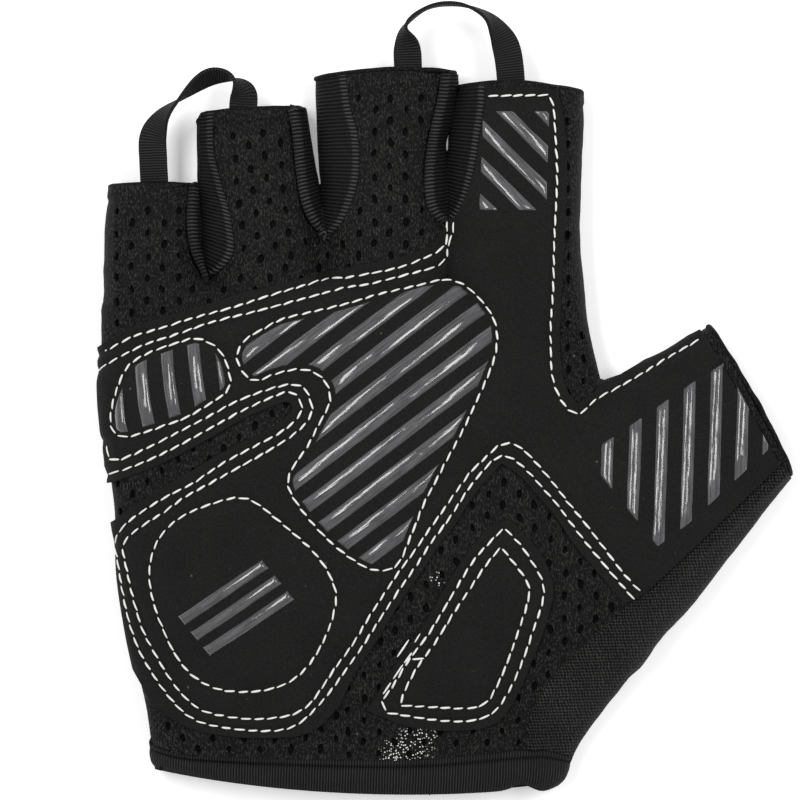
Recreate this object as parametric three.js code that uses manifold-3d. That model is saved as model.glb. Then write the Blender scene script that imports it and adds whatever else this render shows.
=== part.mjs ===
// Half-finger cycling glove for a right hand, lying palm up on a flat surface.
// Millimetres. X runs towards the thumb, Y towards the fingertips, Z up, away from the surface.
// The origin lies on the flat back of the hand, under the middle of the glove.
import * as THREE from "three";
import { mergeVertices } from "three/addons/utils/BufferGeometryUtils.js";
import Module from "manifold-3d";

const wasm = await Module();
wasm.setup();

// Sizes that the whole glove follows
const PALM_WIDTH = 96;
const GLOVE_LENGTH = 145;
const PALM_HEIGHT = 22;

// Cloth, suede, padding and silicone
const CLOTH = 1.5;
const SUEDE = 1.1;
const PAD_EDGE = 1.2;
const PAD_CROWN = 2.2;
const PAD_SHOULDER = 0.9;
const SILICONE = 0.5;
const CUFF_PROUD = 0.6;
const CLEARANCE = 0.3;
const SEAM_HEIGHT = 5;
const TAPE_LOW_EDGE = 2.5;

const DEGREE = Math.PI / 180;

// Silicone bars, in shares of palm width and glove length: a spot on the middle line of the
// first bar, the step to the next one, the way that they run, and the share of a step that a
// bar fills
const BAR_COLUMNS = [
  "across", "along", "stepAcross", "stepAlong", "runAcross", "runAlong", "fill", "count",
];
const BARS = {
  outer: [-0.5833, 0.0138, 0.0547, 0.0048, -0.068, 0.342, 0.42, 5],
  centre: [-0.2240, 0.1083, 0.0326, -0.0286, 0.416, 0.208, 0.50, 10],
  index: [0.2938, 0.3972, -0.0397, -0.0254, 0.362, -0.248, 0.47, 5],
  thumb: [0.4292, -0.0966, 0.0552, -0.0017, 0.024, 0.344, 0.47, 7],
  heel: [-0.3635, -0.2628, 0.0227, -0.0223, 0.432, 0.193, 0.54, 3],
};

// Woven ribbon of the pull loops
const RIBBON_WIDTH = 5.6;
const RIBBON_THICKNESS = 0.8;
const RIBBON_STEPS = 2;

// Shape of the sections: how square they are and where their widest line lies
const SQUARENESS = 2.35;
const WIDEST_SHARE = 0.4;
const FLAT_SHARE = 1.35;
const HAND_POINTS = 28;
const FINGER_POINTS = 18;
const THUMB_POINTS = 24;
const WELD_DISTANCE = 1e-4;
const RUN_PAST = 12;
const OUTLINE_STEPS = 2;
const MITRE_LIMIT = 0.5;
const KEPT_SHARE = 0.97;
const SHORTEST_STEP = 0.3;

const ground = (across, along) => [across * PALM_WIDTH, along * GLOVE_LENGTH];

const rows = (names, list) =>
  list.map((row) => Object.fromEntries(names.map((name, i) => [name, row[i]])));

// Sections: both ends of the widest line, top height and how far the line bows to the wrist.
// Across is in shares of the palm width, along and bow in shares of the glove length and
// height in shares of the palm height.
const SECTION_COLUMNS = ["leftAcross", "leftAlong", "rightAcross", "rightAlong", "height", "bow"];

// hand of the glove, from the wrist opening up to the finger roots
const PALM = rows(SECTION_COLUMNS, [
  [-0.513, -0.508, 0.335, -0.530, 0.61, 0.021],
  [-0.521, -0.472, 0.371, -0.474, 0.66, 0.018],
  [-0.533, -0.414, 0.427, -0.422, 0.77, 0.006],
  [-0.562, -0.331, 0.494, -0.359, 0.89, 0.000],
  [-0.583, -0.248, 0.500, -0.292, 0.98, 0.000],
  [-0.598, -0.138, 0.483, -0.166, 1.00, 0.000],
  [-0.619, -0.028, 0.442, -0.041, 1.00, 0.000],
  [-0.623, 0.069, 0.404, 0.069, 0.93, 0.000],
  [-0.621, 0.138, 0.383, 0.138, 0.82, 0.000],
  [-0.613, 0.161, 0.379, 0.161, 0.73, 0.000],
]);
// little finger, from inside the hand to its opening
const LITTLE = rows(SECTION_COLUMNS, [
  [-0.600, 0.083, -0.371, 0.083, 0.68, 0.000],
  [-0.619, 0.152, -0.392, 0.152, 0.75, 0.000],
  [-0.619, 0.190, -0.415, 0.190, 0.70, 0.000],
  [-0.617, 0.241, -0.421, 0.241, 0.61, 0.000],
  [-0.606, 0.295, -0.423, 0.297, 0.57, -0.001],
]);
// ring finger
const RING = rows(SECTION_COLUMNS, [
  [-0.371, 0.083, -0.156, 0.083, 0.73, 0.000],
  [-0.392, 0.152, -0.150, 0.159, 0.77, 0.000],
  [-0.410, 0.207, -0.158, 0.221, 0.77, 0.000],
  [-0.413, 0.276, -0.166, 0.274, 0.70, 0.000],
  [-0.438, 0.317, -0.182, 0.324, 0.65, 0.000],
  [-0.450, 0.390, -0.203, 0.403, 0.59, -0.004],
]);
// middle finger
const MIDDLE = rows(SECTION_COLUMNS, [
  [-0.150, 0.083, 0.100, 0.083, 0.77, 0.000],
  [-0.175, 0.207, 0.117, 0.207, 0.80, 0.000],
  [-0.169, 0.273, 0.100, 0.274, 0.75, 0.000],
  [-0.172, 0.324, 0.089, 0.331, 0.69, 0.000],
  [-0.175, 0.386, 0.102, 0.389, 0.65, 0.000],
  [-0.177, 0.444, 0.115, 0.452, 0.61, -0.007],
]);
// index finger
const INDEX = rows(SECTION_COLUMNS, [
  [0.100, 0.083, 0.396, 0.090, 0.77, 0.000],
  [0.079, 0.207, 0.377, 0.210, 0.80, 0.000],
  [0.094, 0.273, 0.377, 0.276, 0.75, 0.000],
  [0.096, 0.331, 0.379, 0.328, 0.69, 0.000],
  [0.108, 0.386, 0.384, 0.381, 0.65, 0.000],
  [0.123, 0.433, 0.381, 0.425, 0.61, -0.008],
]);
// thumb, its sections turned towards its own opening
const THUMB = rows(SECTION_COLUMNS, [
  [0.208, -0.034, 0.346, -0.331, 0.82, 0.000],
  [0.333, 0.000, 0.467, -0.381, 0.89, 0.000],
  [0.425, 0.028, 0.546, -0.323, 0.89, 0.000],
  [0.479, 0.040, 0.610, -0.277, 0.84, 0.000],
  [0.558, 0.063, 0.713, -0.190, 0.77, 0.000],
  [0.646, 0.102, 0.817, -0.102, 0.73, 0.000],
]);

// Outlines seen from above, in shares of palm width and glove length. A corner is kept sharp.

// suede main panel: its outer edge, before the slot and window are taken out
const MAIN_PANEL = rows(["across", "along", "corner"], [
  [-0.656, 0.061, 1],
  [-0.606, 0.079, 0],
  [-0.550, 0.101, 0],
  [-0.425, 0.124, 0],
  [-0.267, 0.156, 0],
  [-0.106, 0.182, 0],
  [-0.004, 0.194, 0],
  [0.052, 0.210, 0],
  [0.083, 0.226, 0],
  [0.098, 0.246, 1],
  [0.133, 0.265, 0],
  [0.154, 0.297, 0],
  [0.167, 0.337, 0],
  [0.173, 0.367, 0],
  [0.181, 0.430, 1],
  [0.325, 0.428, 1],
  [0.337, 0.379, 0],
  [0.342, 0.317, 0],
  [0.335, 0.225, 0],
  [0.329, 0.121, 0],
  [0.331, 0.037, 0],
  [0.365, -0.007, 1],
  [0.398, 0.007, 0],
  [0.452, 0.026, 0],
  [0.502, 0.044, 0],
  [0.546, 0.062, 0],
  [0.633, 0.094, 1],
  [0.788, -0.087, 1],
  [0.606, -0.200, 0],
  [0.492, -0.270, 1],
  [-0.123, -0.415, 1],
  [-0.167, -0.447, 0],
  [-0.206, -0.461, 0],
  [-0.304, -0.463, 0],
  [-0.402, -0.457, 0],
  [-0.454, -0.444, 0],
  [-0.502, -0.421, 0],
  [-0.548, -0.370, 0],
  [-0.579, -0.331, 1],
  [-0.656, -0.303, 1],
]);
// slot in the suede, open towards the little finger side
const SLOT = rows(["across", "along", "corner"], [
  [-0.656, -0.121, 1],
  [-0.560, -0.105, 0],
  [-0.458, -0.076, 0],
  [-0.321, -0.025, 0],
  [-0.233, -0.001, 0],
  [-0.219, -0.008, 0],
  [-0.229, -0.019, 0],
  [-0.317, -0.055, 0],
  [-0.435, -0.099, 0],
  [-0.556, -0.149, 0],
  [-0.656, -0.193, 1],
]);
// three-sided window in the suede, open towards the wrist
const WINDOW = rows(["across", "along", "corner"], [
  [0.206, -0.087, 1],
  [0.246, -0.103, 0],
  [0.327, -0.166, 0],
  [0.413, -0.237, 0],
  [0.510, -0.314, 1],
  [0.510, -0.552, 1],
  [-0.123, -0.552, 1],
  [-0.123, -0.415, 1],
  [-0.058, -0.339, 0],
  [0.015, -0.262, 0],
  [0.077, -0.201, 0],
  [0.138, -0.143, 0],
]);
// suede patch that fills most of the window
const THENAR = rows(["across", "along", "corner"], [
  [0.225, -0.164, 1],
  [0.271, -0.194, 0],
  [0.308, -0.232, 0],
  [0.317, -0.276, 0],
  [0.275, -0.352, 0],
  [0.229, -0.419, 0],
  [0.175, -0.448, 0],
  [0.081, -0.452, 0],
  [0.010, -0.446, 0],
  [-0.069, -0.425, 1],
  [0.000, -0.352, 0],
  [0.079, -0.273, 0],
  [0.163, -0.190, 0],
]);
// small pad below the little finger
const PAD_OUTER = rows(["across", "along", "corner"], [
  [-0.579, 0.022, 0],
  [-0.554, 0.051, 0],
  [-0.490, 0.072, 0],
  [-0.421, 0.084, 0],
  [-0.377, 0.070, 0],
  [-0.352, 0.036, 0],
  [-0.356, 0.011, 0],
  [-0.402, -0.010, 0],
  [-0.479, -0.033, 0],
  [-0.554, -0.050, 0],
  [-0.592, -0.043, 0],
  [-0.594, -0.011, 0],
]);
// large three-armed pad in the middle of the hand
const PAD_CENTRE = rows(["across", "along", "corner"], [
  [-0.333, 0.055, 0],
  [-0.323, 0.080, 0],
  [-0.246, 0.109, 0],
  [-0.106, 0.131, 0],
  [0.062, 0.159, 0],
  [0.129, 0.157, 0],
  [0.179, 0.124, 0],
  [0.200, 0.090, 0],
  [0.183, 0.037, 0],
  [0.121, -0.054, 0],
  [0.048, -0.143, 0],
  [-0.004, -0.223, 0],
  [-0.067, -0.230, 0],
  [-0.146, -0.193, 0],
  [-0.219, -0.138, 0],
  [-0.229, -0.102, 0],
  [-0.175, -0.041, 0],
  [-0.144, 0.003, 0],
  [-0.175, 0.037, 0],
  [-0.227, 0.040, 0],
  [-0.302, 0.023, 0],
]);
// large round pad on the heel of the hand
const PAD_HEEL = rows(["across", "along", "corner"], [
  [-0.517, -0.243, 0],
  [-0.504, -0.196, 0],
  [-0.433, -0.153, 0],
  [-0.333, -0.132, 0],
  [-0.246, -0.168, 0],
  [-0.156, -0.226, 0],
  [-0.133, -0.270, 0],
  [-0.167, -0.341, 0],
  [-0.235, -0.389, 0],
  [-0.333, -0.401, 0],
  [-0.417, -0.386, 0],
  [-0.479, -0.334, 0],
]);
// coarse knit panel along the outer side of the thumb
const WIPE = rows(["across", "along", "corner"], [
  [0.258, -0.566, 1],
  [0.263, -0.476, 0],
  [0.281, -0.415, 0],
  [0.352, -0.353, 0],
  [0.454, -0.292, 0],
  [0.546, -0.240, 0],
  [0.606, -0.203, 0],
  [0.788, -0.090, 0],
  [0.833, -0.062, 1],
  [0.938, -0.110, 1],
  [0.625, -0.386, 1],
  [0.417, -0.552, 1],
]);
// tape folded between little and ring finger
const TAPE_LITTLE = rows(["across", "along", "corner"], [
  [-0.446, 0.310, 1],
  [-0.446, 0.234, 0],
  [-0.438, 0.201, 0],
  [-0.410, 0.167, 1],
  [-0.371, 0.179, 0],
  [-0.346, 0.204, 0],
  [-0.350, 0.248, 0],
  [-0.371, 0.301, 0],
  [-0.388, 0.414, 1],
  [-0.475, 0.414, 1],
  [-0.475, 0.310, 1],
]);
// tape between ring and middle finger
const TAPE_RING = rows(["across", "along", "corner"], [
  [-0.238, 0.469, 1],
  [-0.233, 0.393, 0],
  [-0.219, 0.314, 0],
  [-0.206, 0.266, 0],
  [-0.183, 0.237, 0],
  [-0.150, 0.225, 1],
  [-0.123, 0.240, 0],
  [-0.102, 0.266, 0],
  [-0.085, 0.314, 0],
  [-0.088, 0.367, 0],
  [-0.110, 0.469, 1],
]);
// tape between middle and index finger
const TAPE_MIDDLE = rows(["across", "along", "corner"], [
  [0.083, 0.476, 1],
  [0.075, 0.414, 0],
  [0.052, 0.345, 0],
  [0.050, 0.281, 0],
  [0.081, 0.247, 1],
  [0.119, 0.250, 0],
  [0.142, 0.276, 0],
  [0.163, 0.337, 0],
  [0.179, 0.437, 0],
  [0.179, 0.476, 1],
]);
// ground covered by the elastic band round the wrist opening
const CUFF = rows(["across", "along", "corner"], [
  [-0.562, -0.466, 1],
  [-0.467, -0.488, 0],
  [-0.346, -0.494, 0],
  [-0.104, -0.497, 0],
  [0.081, -0.494, 0],
  [0.244, -0.480, 0],
  [0.417, -0.444, 1],
  [0.417, -0.593, 1],
  [-0.562, -0.593, 1],
]);
// field of the bars on the index finger
const INDEX_GRIP = rows(["across", "along", "corner"], [
  [0.175, 0.397, 1],
  [0.308, 0.397, 1],
  [0.302, 0.270, 1],
  [0.294, 0.259, 1],
  [0.167, 0.259, 1],
]);
// field of the bars on the thumb
const THUMB_GRIP = rows(["across", "along", "corner"], [
  [0.413, -0.065, 1],
  [0.608, 0.022, 1],
  [0.675, 0.050, 1],
  [0.771, -0.065, 1],
  [0.604, -0.166, 1],
  [0.531, -0.201, 1],
  [0.417, -0.105, 1],
]);
// field of the plain bars on the heel pad
const HEEL_GRIP = rows(["across", "along", "corner"], [
  [-0.458, -0.292, 1],
  [-0.288, -0.215, 1],
  [-0.208, -0.279, 1],
  [-0.385, -0.353, 1],
]);

function solidOf(geometry) {
  geometry.deleteAttribute("normal");
  geometry.deleteAttribute("uv");
  const merged = mergeVertices(geometry, WELD_DISTANCE);
  return new wasm.Manifold(
    new wasm.Mesh({
      numProp: 3,
      vertProperties: new Float32Array(merged.attributes.position.array),
      triVerts: new Uint32Array(merged.index.array),
    }),
  );
}

function volumeOf(points, faces) {
  const sum = faces.reduce((total, [a, b, c]) => {
    return total + new THREE.Vector3().crossVectors(points[a], points[b]).dot(points[c]);
  }, 0);
  return sum / 6;
}

// Skin through rings of equal length, closed at both ends round a middle point
function loft(rings) {
  const count = rings[0].length;
  const points = rings.flat();
  const faces = [];
  for (let r = 0; r + 1 < rings.length; r += 1) {
    for (let i = 0; i < count; i += 1) {
      const a = r * count + i;
      const b = r * count + ((i + 1) % count);
      faces.push([a, b, b + count], [a, b + count, a + count]);
    }
  }
  const addEnd = (ring, base, turned) => {
    const middle = ring.reduce((sum, p) => sum.add(p), new THREE.Vector3()).divideScalar(count);
    const tip = points.push(middle) - 1;
    for (let i = 0; i < count; i += 1) {
      const a = base + i;
      const b = base + ((i + 1) % count);
      faces.push(turned ? [b, a, tip] : [a, b, tip]);
    }
  };
  addEnd(rings[0], 0, true);
  addEnd(rings[rings.length - 1], (rings.length - 1) * count, false);
  const outward = volumeOf(points, faces) > 0;
  const geometry = new THREE.BufferGeometry();
  geometry.setAttribute(
    "position",
    new THREE.Float32BufferAttribute(points.flatMap((p) => p.toArray()), 3),
  );
  geometry.setIndex(faces.flatMap(([a, b, c]) => (outward ? [a, b, c] : [a, c, b])));
  return solidOf(geometry);
}

// Values of a column read smoothly between the rows of a table
function columnAt(table, name, share) {
  const curve = new THREE.SplineCurve(table.map((row, i) => new THREE.Vector2(i, row[name])));
  return curve.getPoint(share).y;
}

function power(value) {
  return Math.sign(value) * Math.abs(value) ** (2 / SQUARENESS);
}

// One section, grown or shrunk all round, flattened where it lies on the surface
function sectionRing(row, grow, pointCount) {
  const left = new THREE.Vector2(...ground(row.leftAcross, row.leftAlong));
  const right = new THREE.Vector2(...ground(row.rightAcross, row.rightAlong));
  const middle = left.clone().add(right).divideScalar(2);
  const way = right.clone().sub(left).normalize();
  const half = left.distanceTo(right) / 2 + grow;
  const height = row.height * PALM_HEIGHT;
  const widest = WIDEST_SHARE * height;
  const floor = Math.max(0, -grow);
  const bow = row.bow * GLOVE_LENGTH;
  return Array.from({ length: pointCount }, (_, i) => {
    const angle = (2 * Math.PI * i) / pointCount;
    const u = power(Math.cos(angle));
    const v = power(Math.sin(angle));
    const drop = bow * (1 - u * u);
    const rise = v > 0 ? (height + grow - widest) * v : (widest * FLAT_SHARE + grow) * v;
    return new THREE.Vector3(
      middle.x + way.x * half * u + way.y * drop,
      middle.y + way.y * half * u - way.x * drop,
      Math.max(floor, widest + rise),
    );
  });
}

function tube(table, grow, { pointCount, runPast = 0, pullBack = 0 }) {
  const rings = table.map((row) => sectionRing(row, grow, pointCount));
  const last = rings.length - 1;
  const shifted = (ring, beside, distance) => {
    const middleOf = (list) =>
      list.reduce((sum, p) => sum.add(p), new THREE.Vector3()).divideScalar(list.length).setZ(0);
    const way = middleOf(ring).sub(middleOf(beside)).normalize();
    return ring.map((p) => p.clone().addScaledVector(way, distance));
  };
  if (runPast > 0) {
    rings.push(shifted(rings[last], rings[last - 1], runPast));
  }
  if (pullBack > 0) {
    rings[0] = shifted(rings[0], rings[1], -pullBack);
  }
  return loft(rings);
}

const FINGERS = [LITTLE, RING, MIDDLE, INDEX];

const forms = new Map();

// The whole form of the glove; an open form also runs past all its openings
function form(grow, open = false) {
  const key = `${grow} ${open}`;
  if (!forms.has(key)) {
    forms.set(key, makeForm(grow, open));
  }
  return forms.get(key);
}

function makeForm(grow, open) {
  const hand = tube([...PALM].reverse(), grow, {
    pointCount: HAND_POINTS,
    runPast: open ? RUN_PAST : 0,
    pullBack: Math.max(0, -grow),
  });
  const parts = [...FINGERS, THUMB].map((table) =>
    tube(table, grow, {
      pointCount: table === THUMB ? THUMB_POINTS : FINGER_POINTS,
      runPast: open ? RUN_PAST : 0,
    }),
  );
  return parts.reduce((sum, part) => sum.add(part), hand);
}

// Outline as a run of points: smooth between corners
function outlinePoints(table, steps = OUTLINE_STEPS) {
  const points = table.map((row) => new THREE.Vector2(...ground(row.across, row.along)));
  const corners = table.map((row, i) => (row.corner ? i : -1)).filter((i) => i >= 0);
  if (corners.length === 0) {
    const ring = new THREE.CatmullRomCurve3(
      points.map((p) => new THREE.Vector3(p.x, p.y, 0)),
      true,
      "centripetal",
    );
    return ring.getPoints(points.length * steps).slice(0, -1).map((p) => new THREE.Vector2(p.x, p.y));
  }
  const path = [];
  corners.forEach((start, k) => {
    const next = corners[(k + 1) % corners.length];
    const length = (next - start + points.length) % points.length || points.length;
    const run = Array.from({ length: length + 1 }, (_, i) => points[(start + i) % points.length]);
    const smooth = length > 1 ? new THREE.SplineCurve(run).getPoints(length * steps) : run;
    path.push(...smooth.slice(0, -1));
  });
  return path;
}

function distanceTo(points, spot) {
  const distances = points.map((p, i) => {
    const line = new THREE.Line3(
      new THREE.Vector3(p.x, p.y, 0),
      new THREE.Vector3(points[(i + 1) % points.length].x, points[(i + 1) % points.length].y, 0),
    );
    const target = new THREE.Vector3(spot.x, spot.y, 0);
    return line.closestPointToPoint(target, true, new THREE.Vector3()).distanceTo(target);
  });
  return Math.min(...distances);
}

// Same outline moved outwards by a distance, or inwards when it is negative; spots that a
// tight bend would fold back are left out
function grown(points, distance) {
  if (distance === 0) {
    return points;
  }
  const turn = THREE.ShapeUtils.isClockWise(points) ? -1 : 1;
  const moved = points.map((p, i) => {
    const before = points[(i + points.length - 1) % points.length];
    const after = points[(i + 1) % points.length];
    const into = p.clone().sub(before).normalize();
    const out = after.clone().sub(p).normalize();
    const way = into.clone().add(out).normalize();
    const reach = distance / Math.max(MITRE_LIMIT, into.dot(way));
    return new THREE.Vector2(p.x + way.y * reach * turn, p.y - way.x * reach * turn);
  });
  const clear = moved.filter((p) => distanceTo(points, p) > Math.abs(distance) * KEPT_SHARE);
  return clear.filter((p, i) => p.distanceTo(clear[(i + 1) % clear.length]) > SHORTEST_STEP);
}

const DEEP = -20;
const TALL = 60;

function prism(points, low = DEEP, high = TALL) {
  const ordered = THREE.ShapeUtils.isClockWise(points) ? [...points].reverse() : points;
  const geometry = new THREE.ExtrudeGeometry(new THREE.Shape(ordered), {
    depth: high - low,
    bevelEnabled: false,
  });
  geometry.translate(0, 0, low);
  return solidOf(geometry);
}

const zone = (table, distance = 0) => prism(grown(outlinePoints(table), distance));

const EVERYWHERE = 200;

function slab(low, high) {
  const side = EVERYWHERE;
  const square = [
    new THREE.Vector2(-side, -side),
    new THREE.Vector2(side, -side),
    new THREE.Vector2(side, side),
    new THREE.Vector2(-side, side),
  ];
  return prism(square, low, high);
}

const aboveSeam = slab(SEAM_HEIGHT, TALL);

// A layer that follows the form between two heights above the cloth
function layer(low, high, ground2d) {
  return form(high).subtract(form(low)).intersect(ground2d).intersect(aboveSeam);
}

// Cloth shell and the pieces that it is sewn from
const shell = form(0).subtract(form(-CLOTH, true));
const tapes = {
  gusset_little_ring: TAPE_LITTLE,
  gusset_ring_middle: TAPE_RING,
  gusset_middle_index: TAPE_MIDDLE,
};
const cuffZone = zone(CUFF);
const cuffZoneWide = zone(CUFF, CLEARANCE);
const wipeZone = zone(WIPE);
const tapeSlab = slab(TAPE_LOW_EDGE, TALL);
const tapeSlabWide = slab(TAPE_LOW_EDGE - CLEARANCE, TALL);
const tapeZonesWide = Object.values(tapes)
  .map((table) => zone(table, CLEARANCE).intersect(tapeSlabWide))
  .reduce((sum, part) => sum.add(part));

const palmMesh = shell
  .intersect(aboveSeam)
  .subtract(cuffZoneWide)
  .subtract(zone(WIPE, CLEARANCE))
  .subtract(tapeZonesWide);
const wipePanel = shell.intersect(wipeZone).intersect(aboveSeam).subtract(cuffZoneWide);
const backPanel = shell
  .intersect(slab(DEEP, SEAM_HEIGHT - CLEARANCE))
  .subtract(cuffZoneWide)
  .subtract(tapeZonesWide);
const cuff = form(CUFF_PROUD)
  .intersect(slab(0, TALL))
  .subtract(form(-CLOTH, true))
  .intersect(cuffZone);

// Suede, pads and silicone, each lying on the one before
const suedeLow = CLEARANCE;
const suedeHigh = suedeLow + SUEDE;
const padLow = suedeHigh + CLEARANCE;
const padHigh = padLow + PAD_CROWN;
const suedeZone = zone(MAIN_PANEL).subtract(zone(SLOT)).subtract(zone(WINDOW));
const mainPanel = layer(suedeLow, suedeHigh, suedeZone);
const thenarPatch = layer(suedeLow, suedeHigh, zone(THENAR));

function pad(table) {
  const edge = layer(padLow, padLow + PAD_EDGE, zone(table));
  const crown = layer(padLow, padHigh, zone(table, -PAD_SHOULDER));
  return edge.add(crown);
}

// Straight bars clipped by a field
function bars(name, field, low) {
  const [size] = rows(BAR_COLUMNS, [BARS[name]]);
  const skin = form(low + SILICONE).subtract(form(low)).intersect(aboveSeam);
  const spot = (step, run) =>
    new THREE.Vector2(
      ...ground(
        size.across + step * size.stepAcross + run * size.runAcross,
        size.along + step * size.stepAlong + run * size.runAlong,
      ),
    );
  return Array.from({ length: size.count }, (_, i) => {
    const near = i - size.fill / 2;
    const far = i + size.fill / 2;
    const strip = prism([spot(near, -1), spot(far, -1), spot(far, 1), spot(near, 1)]);
    return [`${name}_grip_${i + 1}`, skin.intersect(strip).intersect(field)];
  });
}

// Ribbon swept along a path; the tilt turns its width from lying flat to standing on edge
function ribbon(table) {
  const path = new THREE.CatmullRomCurve3(
    table.map((row) => new THREE.Vector3(...ground(row.across, row.along), row.height * PALM_HEIGHT)),
  );
  const total = (table.length - 1) * RIBBON_STEPS;
  const up = new THREE.Vector3(0, 0, 1);
  const rings = Array.from({ length: total + 1 }, (_, i) => {
    const middle = path.getPoint(i / total);
    const way = path.getTangent(i / total);
    const level = new THREE.Vector3().crossVectors(way, up).normalize();
    const tilt = columnAt(table, "tilt", i / total) * DEGREE;
    const wide = level.multiplyScalar(Math.cos(tilt)).addScaledVector(up, Math.sin(tilt));
    const thin = new THREE.Vector3().crossVectors(way, wide).normalize();
    wide.multiplyScalar(RIBBON_WIDTH / 2);
    thin.multiplyScalar(RIBBON_THICKNESS / 2);
    const corners = [[-1, -1], [1, -1], [1, 1], [-1, 1]];
    return corners.map(([w, t]) => middle.clone().addScaledVector(wide, w).addScaledVector(thin, t));
  });
  return loft(rings);
}

// pull loop from the little to the ring finger, its height in shares of the palm height, its tilt in degrees
const LOOP_LEFT = rows(["across", "along", "height", "tilt"], [
  [-0.513, 0.268, 0.450, 0],
  [-0.513, 0.298, 0.455, 0],
  [-0.515, 0.331, 0.482, 0],
  [-0.515, 0.364, 0.491, 22],
  [-0.498, 0.390, 0.477, 58],
  [-0.463, 0.414, 0.455, 88],
  [-0.394, 0.447, 0.432, 120],
  [-0.348, 0.444, 0.432, 92],
  [-0.327, 0.426, 0.455, 35],
  [-0.327, 0.403, 0.473, 4],
  [-0.327, 0.375, 0.482, 0],
]);
// pull loop from the middle to the index finger
const LOOP_RIGHT = rows(["across", "along", "height", "tilt"], [
  [0.017, 0.425, 0.468, 0],
  [0.017, 0.461, 0.468, 0],
  [0.015, 0.486, 0.473, 25],
  [0.009, 0.514, 0.473, 84],
  [0.058, 0.542, 0.464, 90],
  [0.125, 0.546, 0.464, 90],
  [0.183, 0.530, 0.468, 74],
  [0.208, 0.508, 0.482, 45],
  [0.223, 0.483, 0.491, 12],
  [0.231, 0.440, 0.491, 0],
  [0.231, 0.408, 0.491, 0],
]);

// Looks of the materials
const LOOKS = {
  mesh: { color: 0x2a2a29, roughness: 0.85, metalness: 0 },
  knit: { color: 0x242423, roughness: 0.9, metalness: 0 },
  tape: { color: 0x1b1b1a, roughness: 0.8, metalness: 0 },
  suede: { color: 0x21211f, roughness: 0.95, metalness: 0 },
  silicone: { color: 0x77797a, roughness: 0.25, metalness: 0 },
};

const padTop = padHigh + CLEARANCE;
const onSuede = suedeHigh + CLEARANCE;
const crownZone = (table) => zone(table, -PAD_SHOULDER - CLEARANCE);
const pieces = [
  ["palm_mesh", palmMesh, LOOKS.mesh],
  ["back_panel", backPanel, LOOKS.knit],
  ...Object.entries(tapes).map(([name, table]) => [
    name,
    shell.intersect(zone(table)).intersect(tapeSlab),
    LOOKS.tape,
  ]),
  ["thumb_wipe_panel", wipePanel, LOOKS.knit],
  ["cuff_binding", cuff, LOOKS.tape],
  ["palm_overlay", mainPanel, LOOKS.suede],
  ["thenar_patch", thenarPatch, LOOKS.suede],
  ["gel_pad_outer", pad(PAD_OUTER), LOOKS.suede],
  ["gel_pad_centre", pad(PAD_CENTRE), LOOKS.suede],
  ["gel_pad_heel", pad(PAD_HEEL), LOOKS.suede],
  ["pull_loop_left", ribbon(LOOP_LEFT), LOOKS.tape],
  ["pull_loop_right", ribbon(LOOP_RIGHT), LOOKS.tape],
];
const grips = [
  ...bars("outer", crownZone(PAD_OUTER), padTop),
  ...bars("centre", crownZone(PAD_CENTRE), padTop),
  ...bars("heel", zone(HEEL_GRIP), padTop),
  ...bars("index", zone(INDEX_GRIP), onSuede),
  ...bars("thumb", zone(THUMB_GRIP), onSuede),
];
pieces.push(...grips.map(([name, solid]) => [name, solid, LOOKS.silicone]));

const glove = new THREE.Group();
glove.name = "cycling_glove";
for (const [name, solid, look] of pieces) {
  const { vertProperties, triVerts } = solid.getMesh();
  const geometry = new THREE.BufferGeometry();
  geometry.setAttribute("position", new THREE.Float32BufferAttribute(vertProperties, 3));
  geometry.setIndex(Array.from(triVerts));
  geometry.computeVertexNormals();
  const mesh = new THREE.Mesh(geometry, new THREE.MeshStandardMaterial(look));
  mesh.name = name;
  glove.add(mesh);
}

export default glove;
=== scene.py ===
"""Half-finger cycling glove for a right hand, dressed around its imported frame."""
import math
import random

import bmesh
import bpy
import numpy as np
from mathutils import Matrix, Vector, geometry, kdtree
from mathutils import noise as soft_noise
from mathutils.bvhtree import BVHTree


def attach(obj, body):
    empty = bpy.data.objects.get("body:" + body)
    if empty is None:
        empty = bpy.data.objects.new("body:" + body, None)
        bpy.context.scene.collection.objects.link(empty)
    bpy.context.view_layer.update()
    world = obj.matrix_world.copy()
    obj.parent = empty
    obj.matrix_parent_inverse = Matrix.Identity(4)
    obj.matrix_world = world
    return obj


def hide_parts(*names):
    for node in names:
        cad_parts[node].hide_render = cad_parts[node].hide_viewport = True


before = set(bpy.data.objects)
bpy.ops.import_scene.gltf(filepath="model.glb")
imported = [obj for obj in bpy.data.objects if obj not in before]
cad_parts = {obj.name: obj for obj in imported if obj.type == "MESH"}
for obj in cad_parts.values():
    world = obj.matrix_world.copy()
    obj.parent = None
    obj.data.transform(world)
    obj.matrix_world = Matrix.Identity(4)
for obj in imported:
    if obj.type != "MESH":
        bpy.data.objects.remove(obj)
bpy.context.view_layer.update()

bl_info = {
    "name": "Cycling glove",
    "version": (1, 0, 0),
    "blender": (4, 5, 0),
    "location": "3D View > Sidebar > Glove",
    "description": "Makes a half-finger cycling glove in mesh, suede, silicone and ribbed tape",
    "category": "Object",
}

# The plan of the glove is drawn on a grid of 0.2 mm, seen from above, y running to the wrist
GRID = 0.0002
MIDDLE = 400.0

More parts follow.
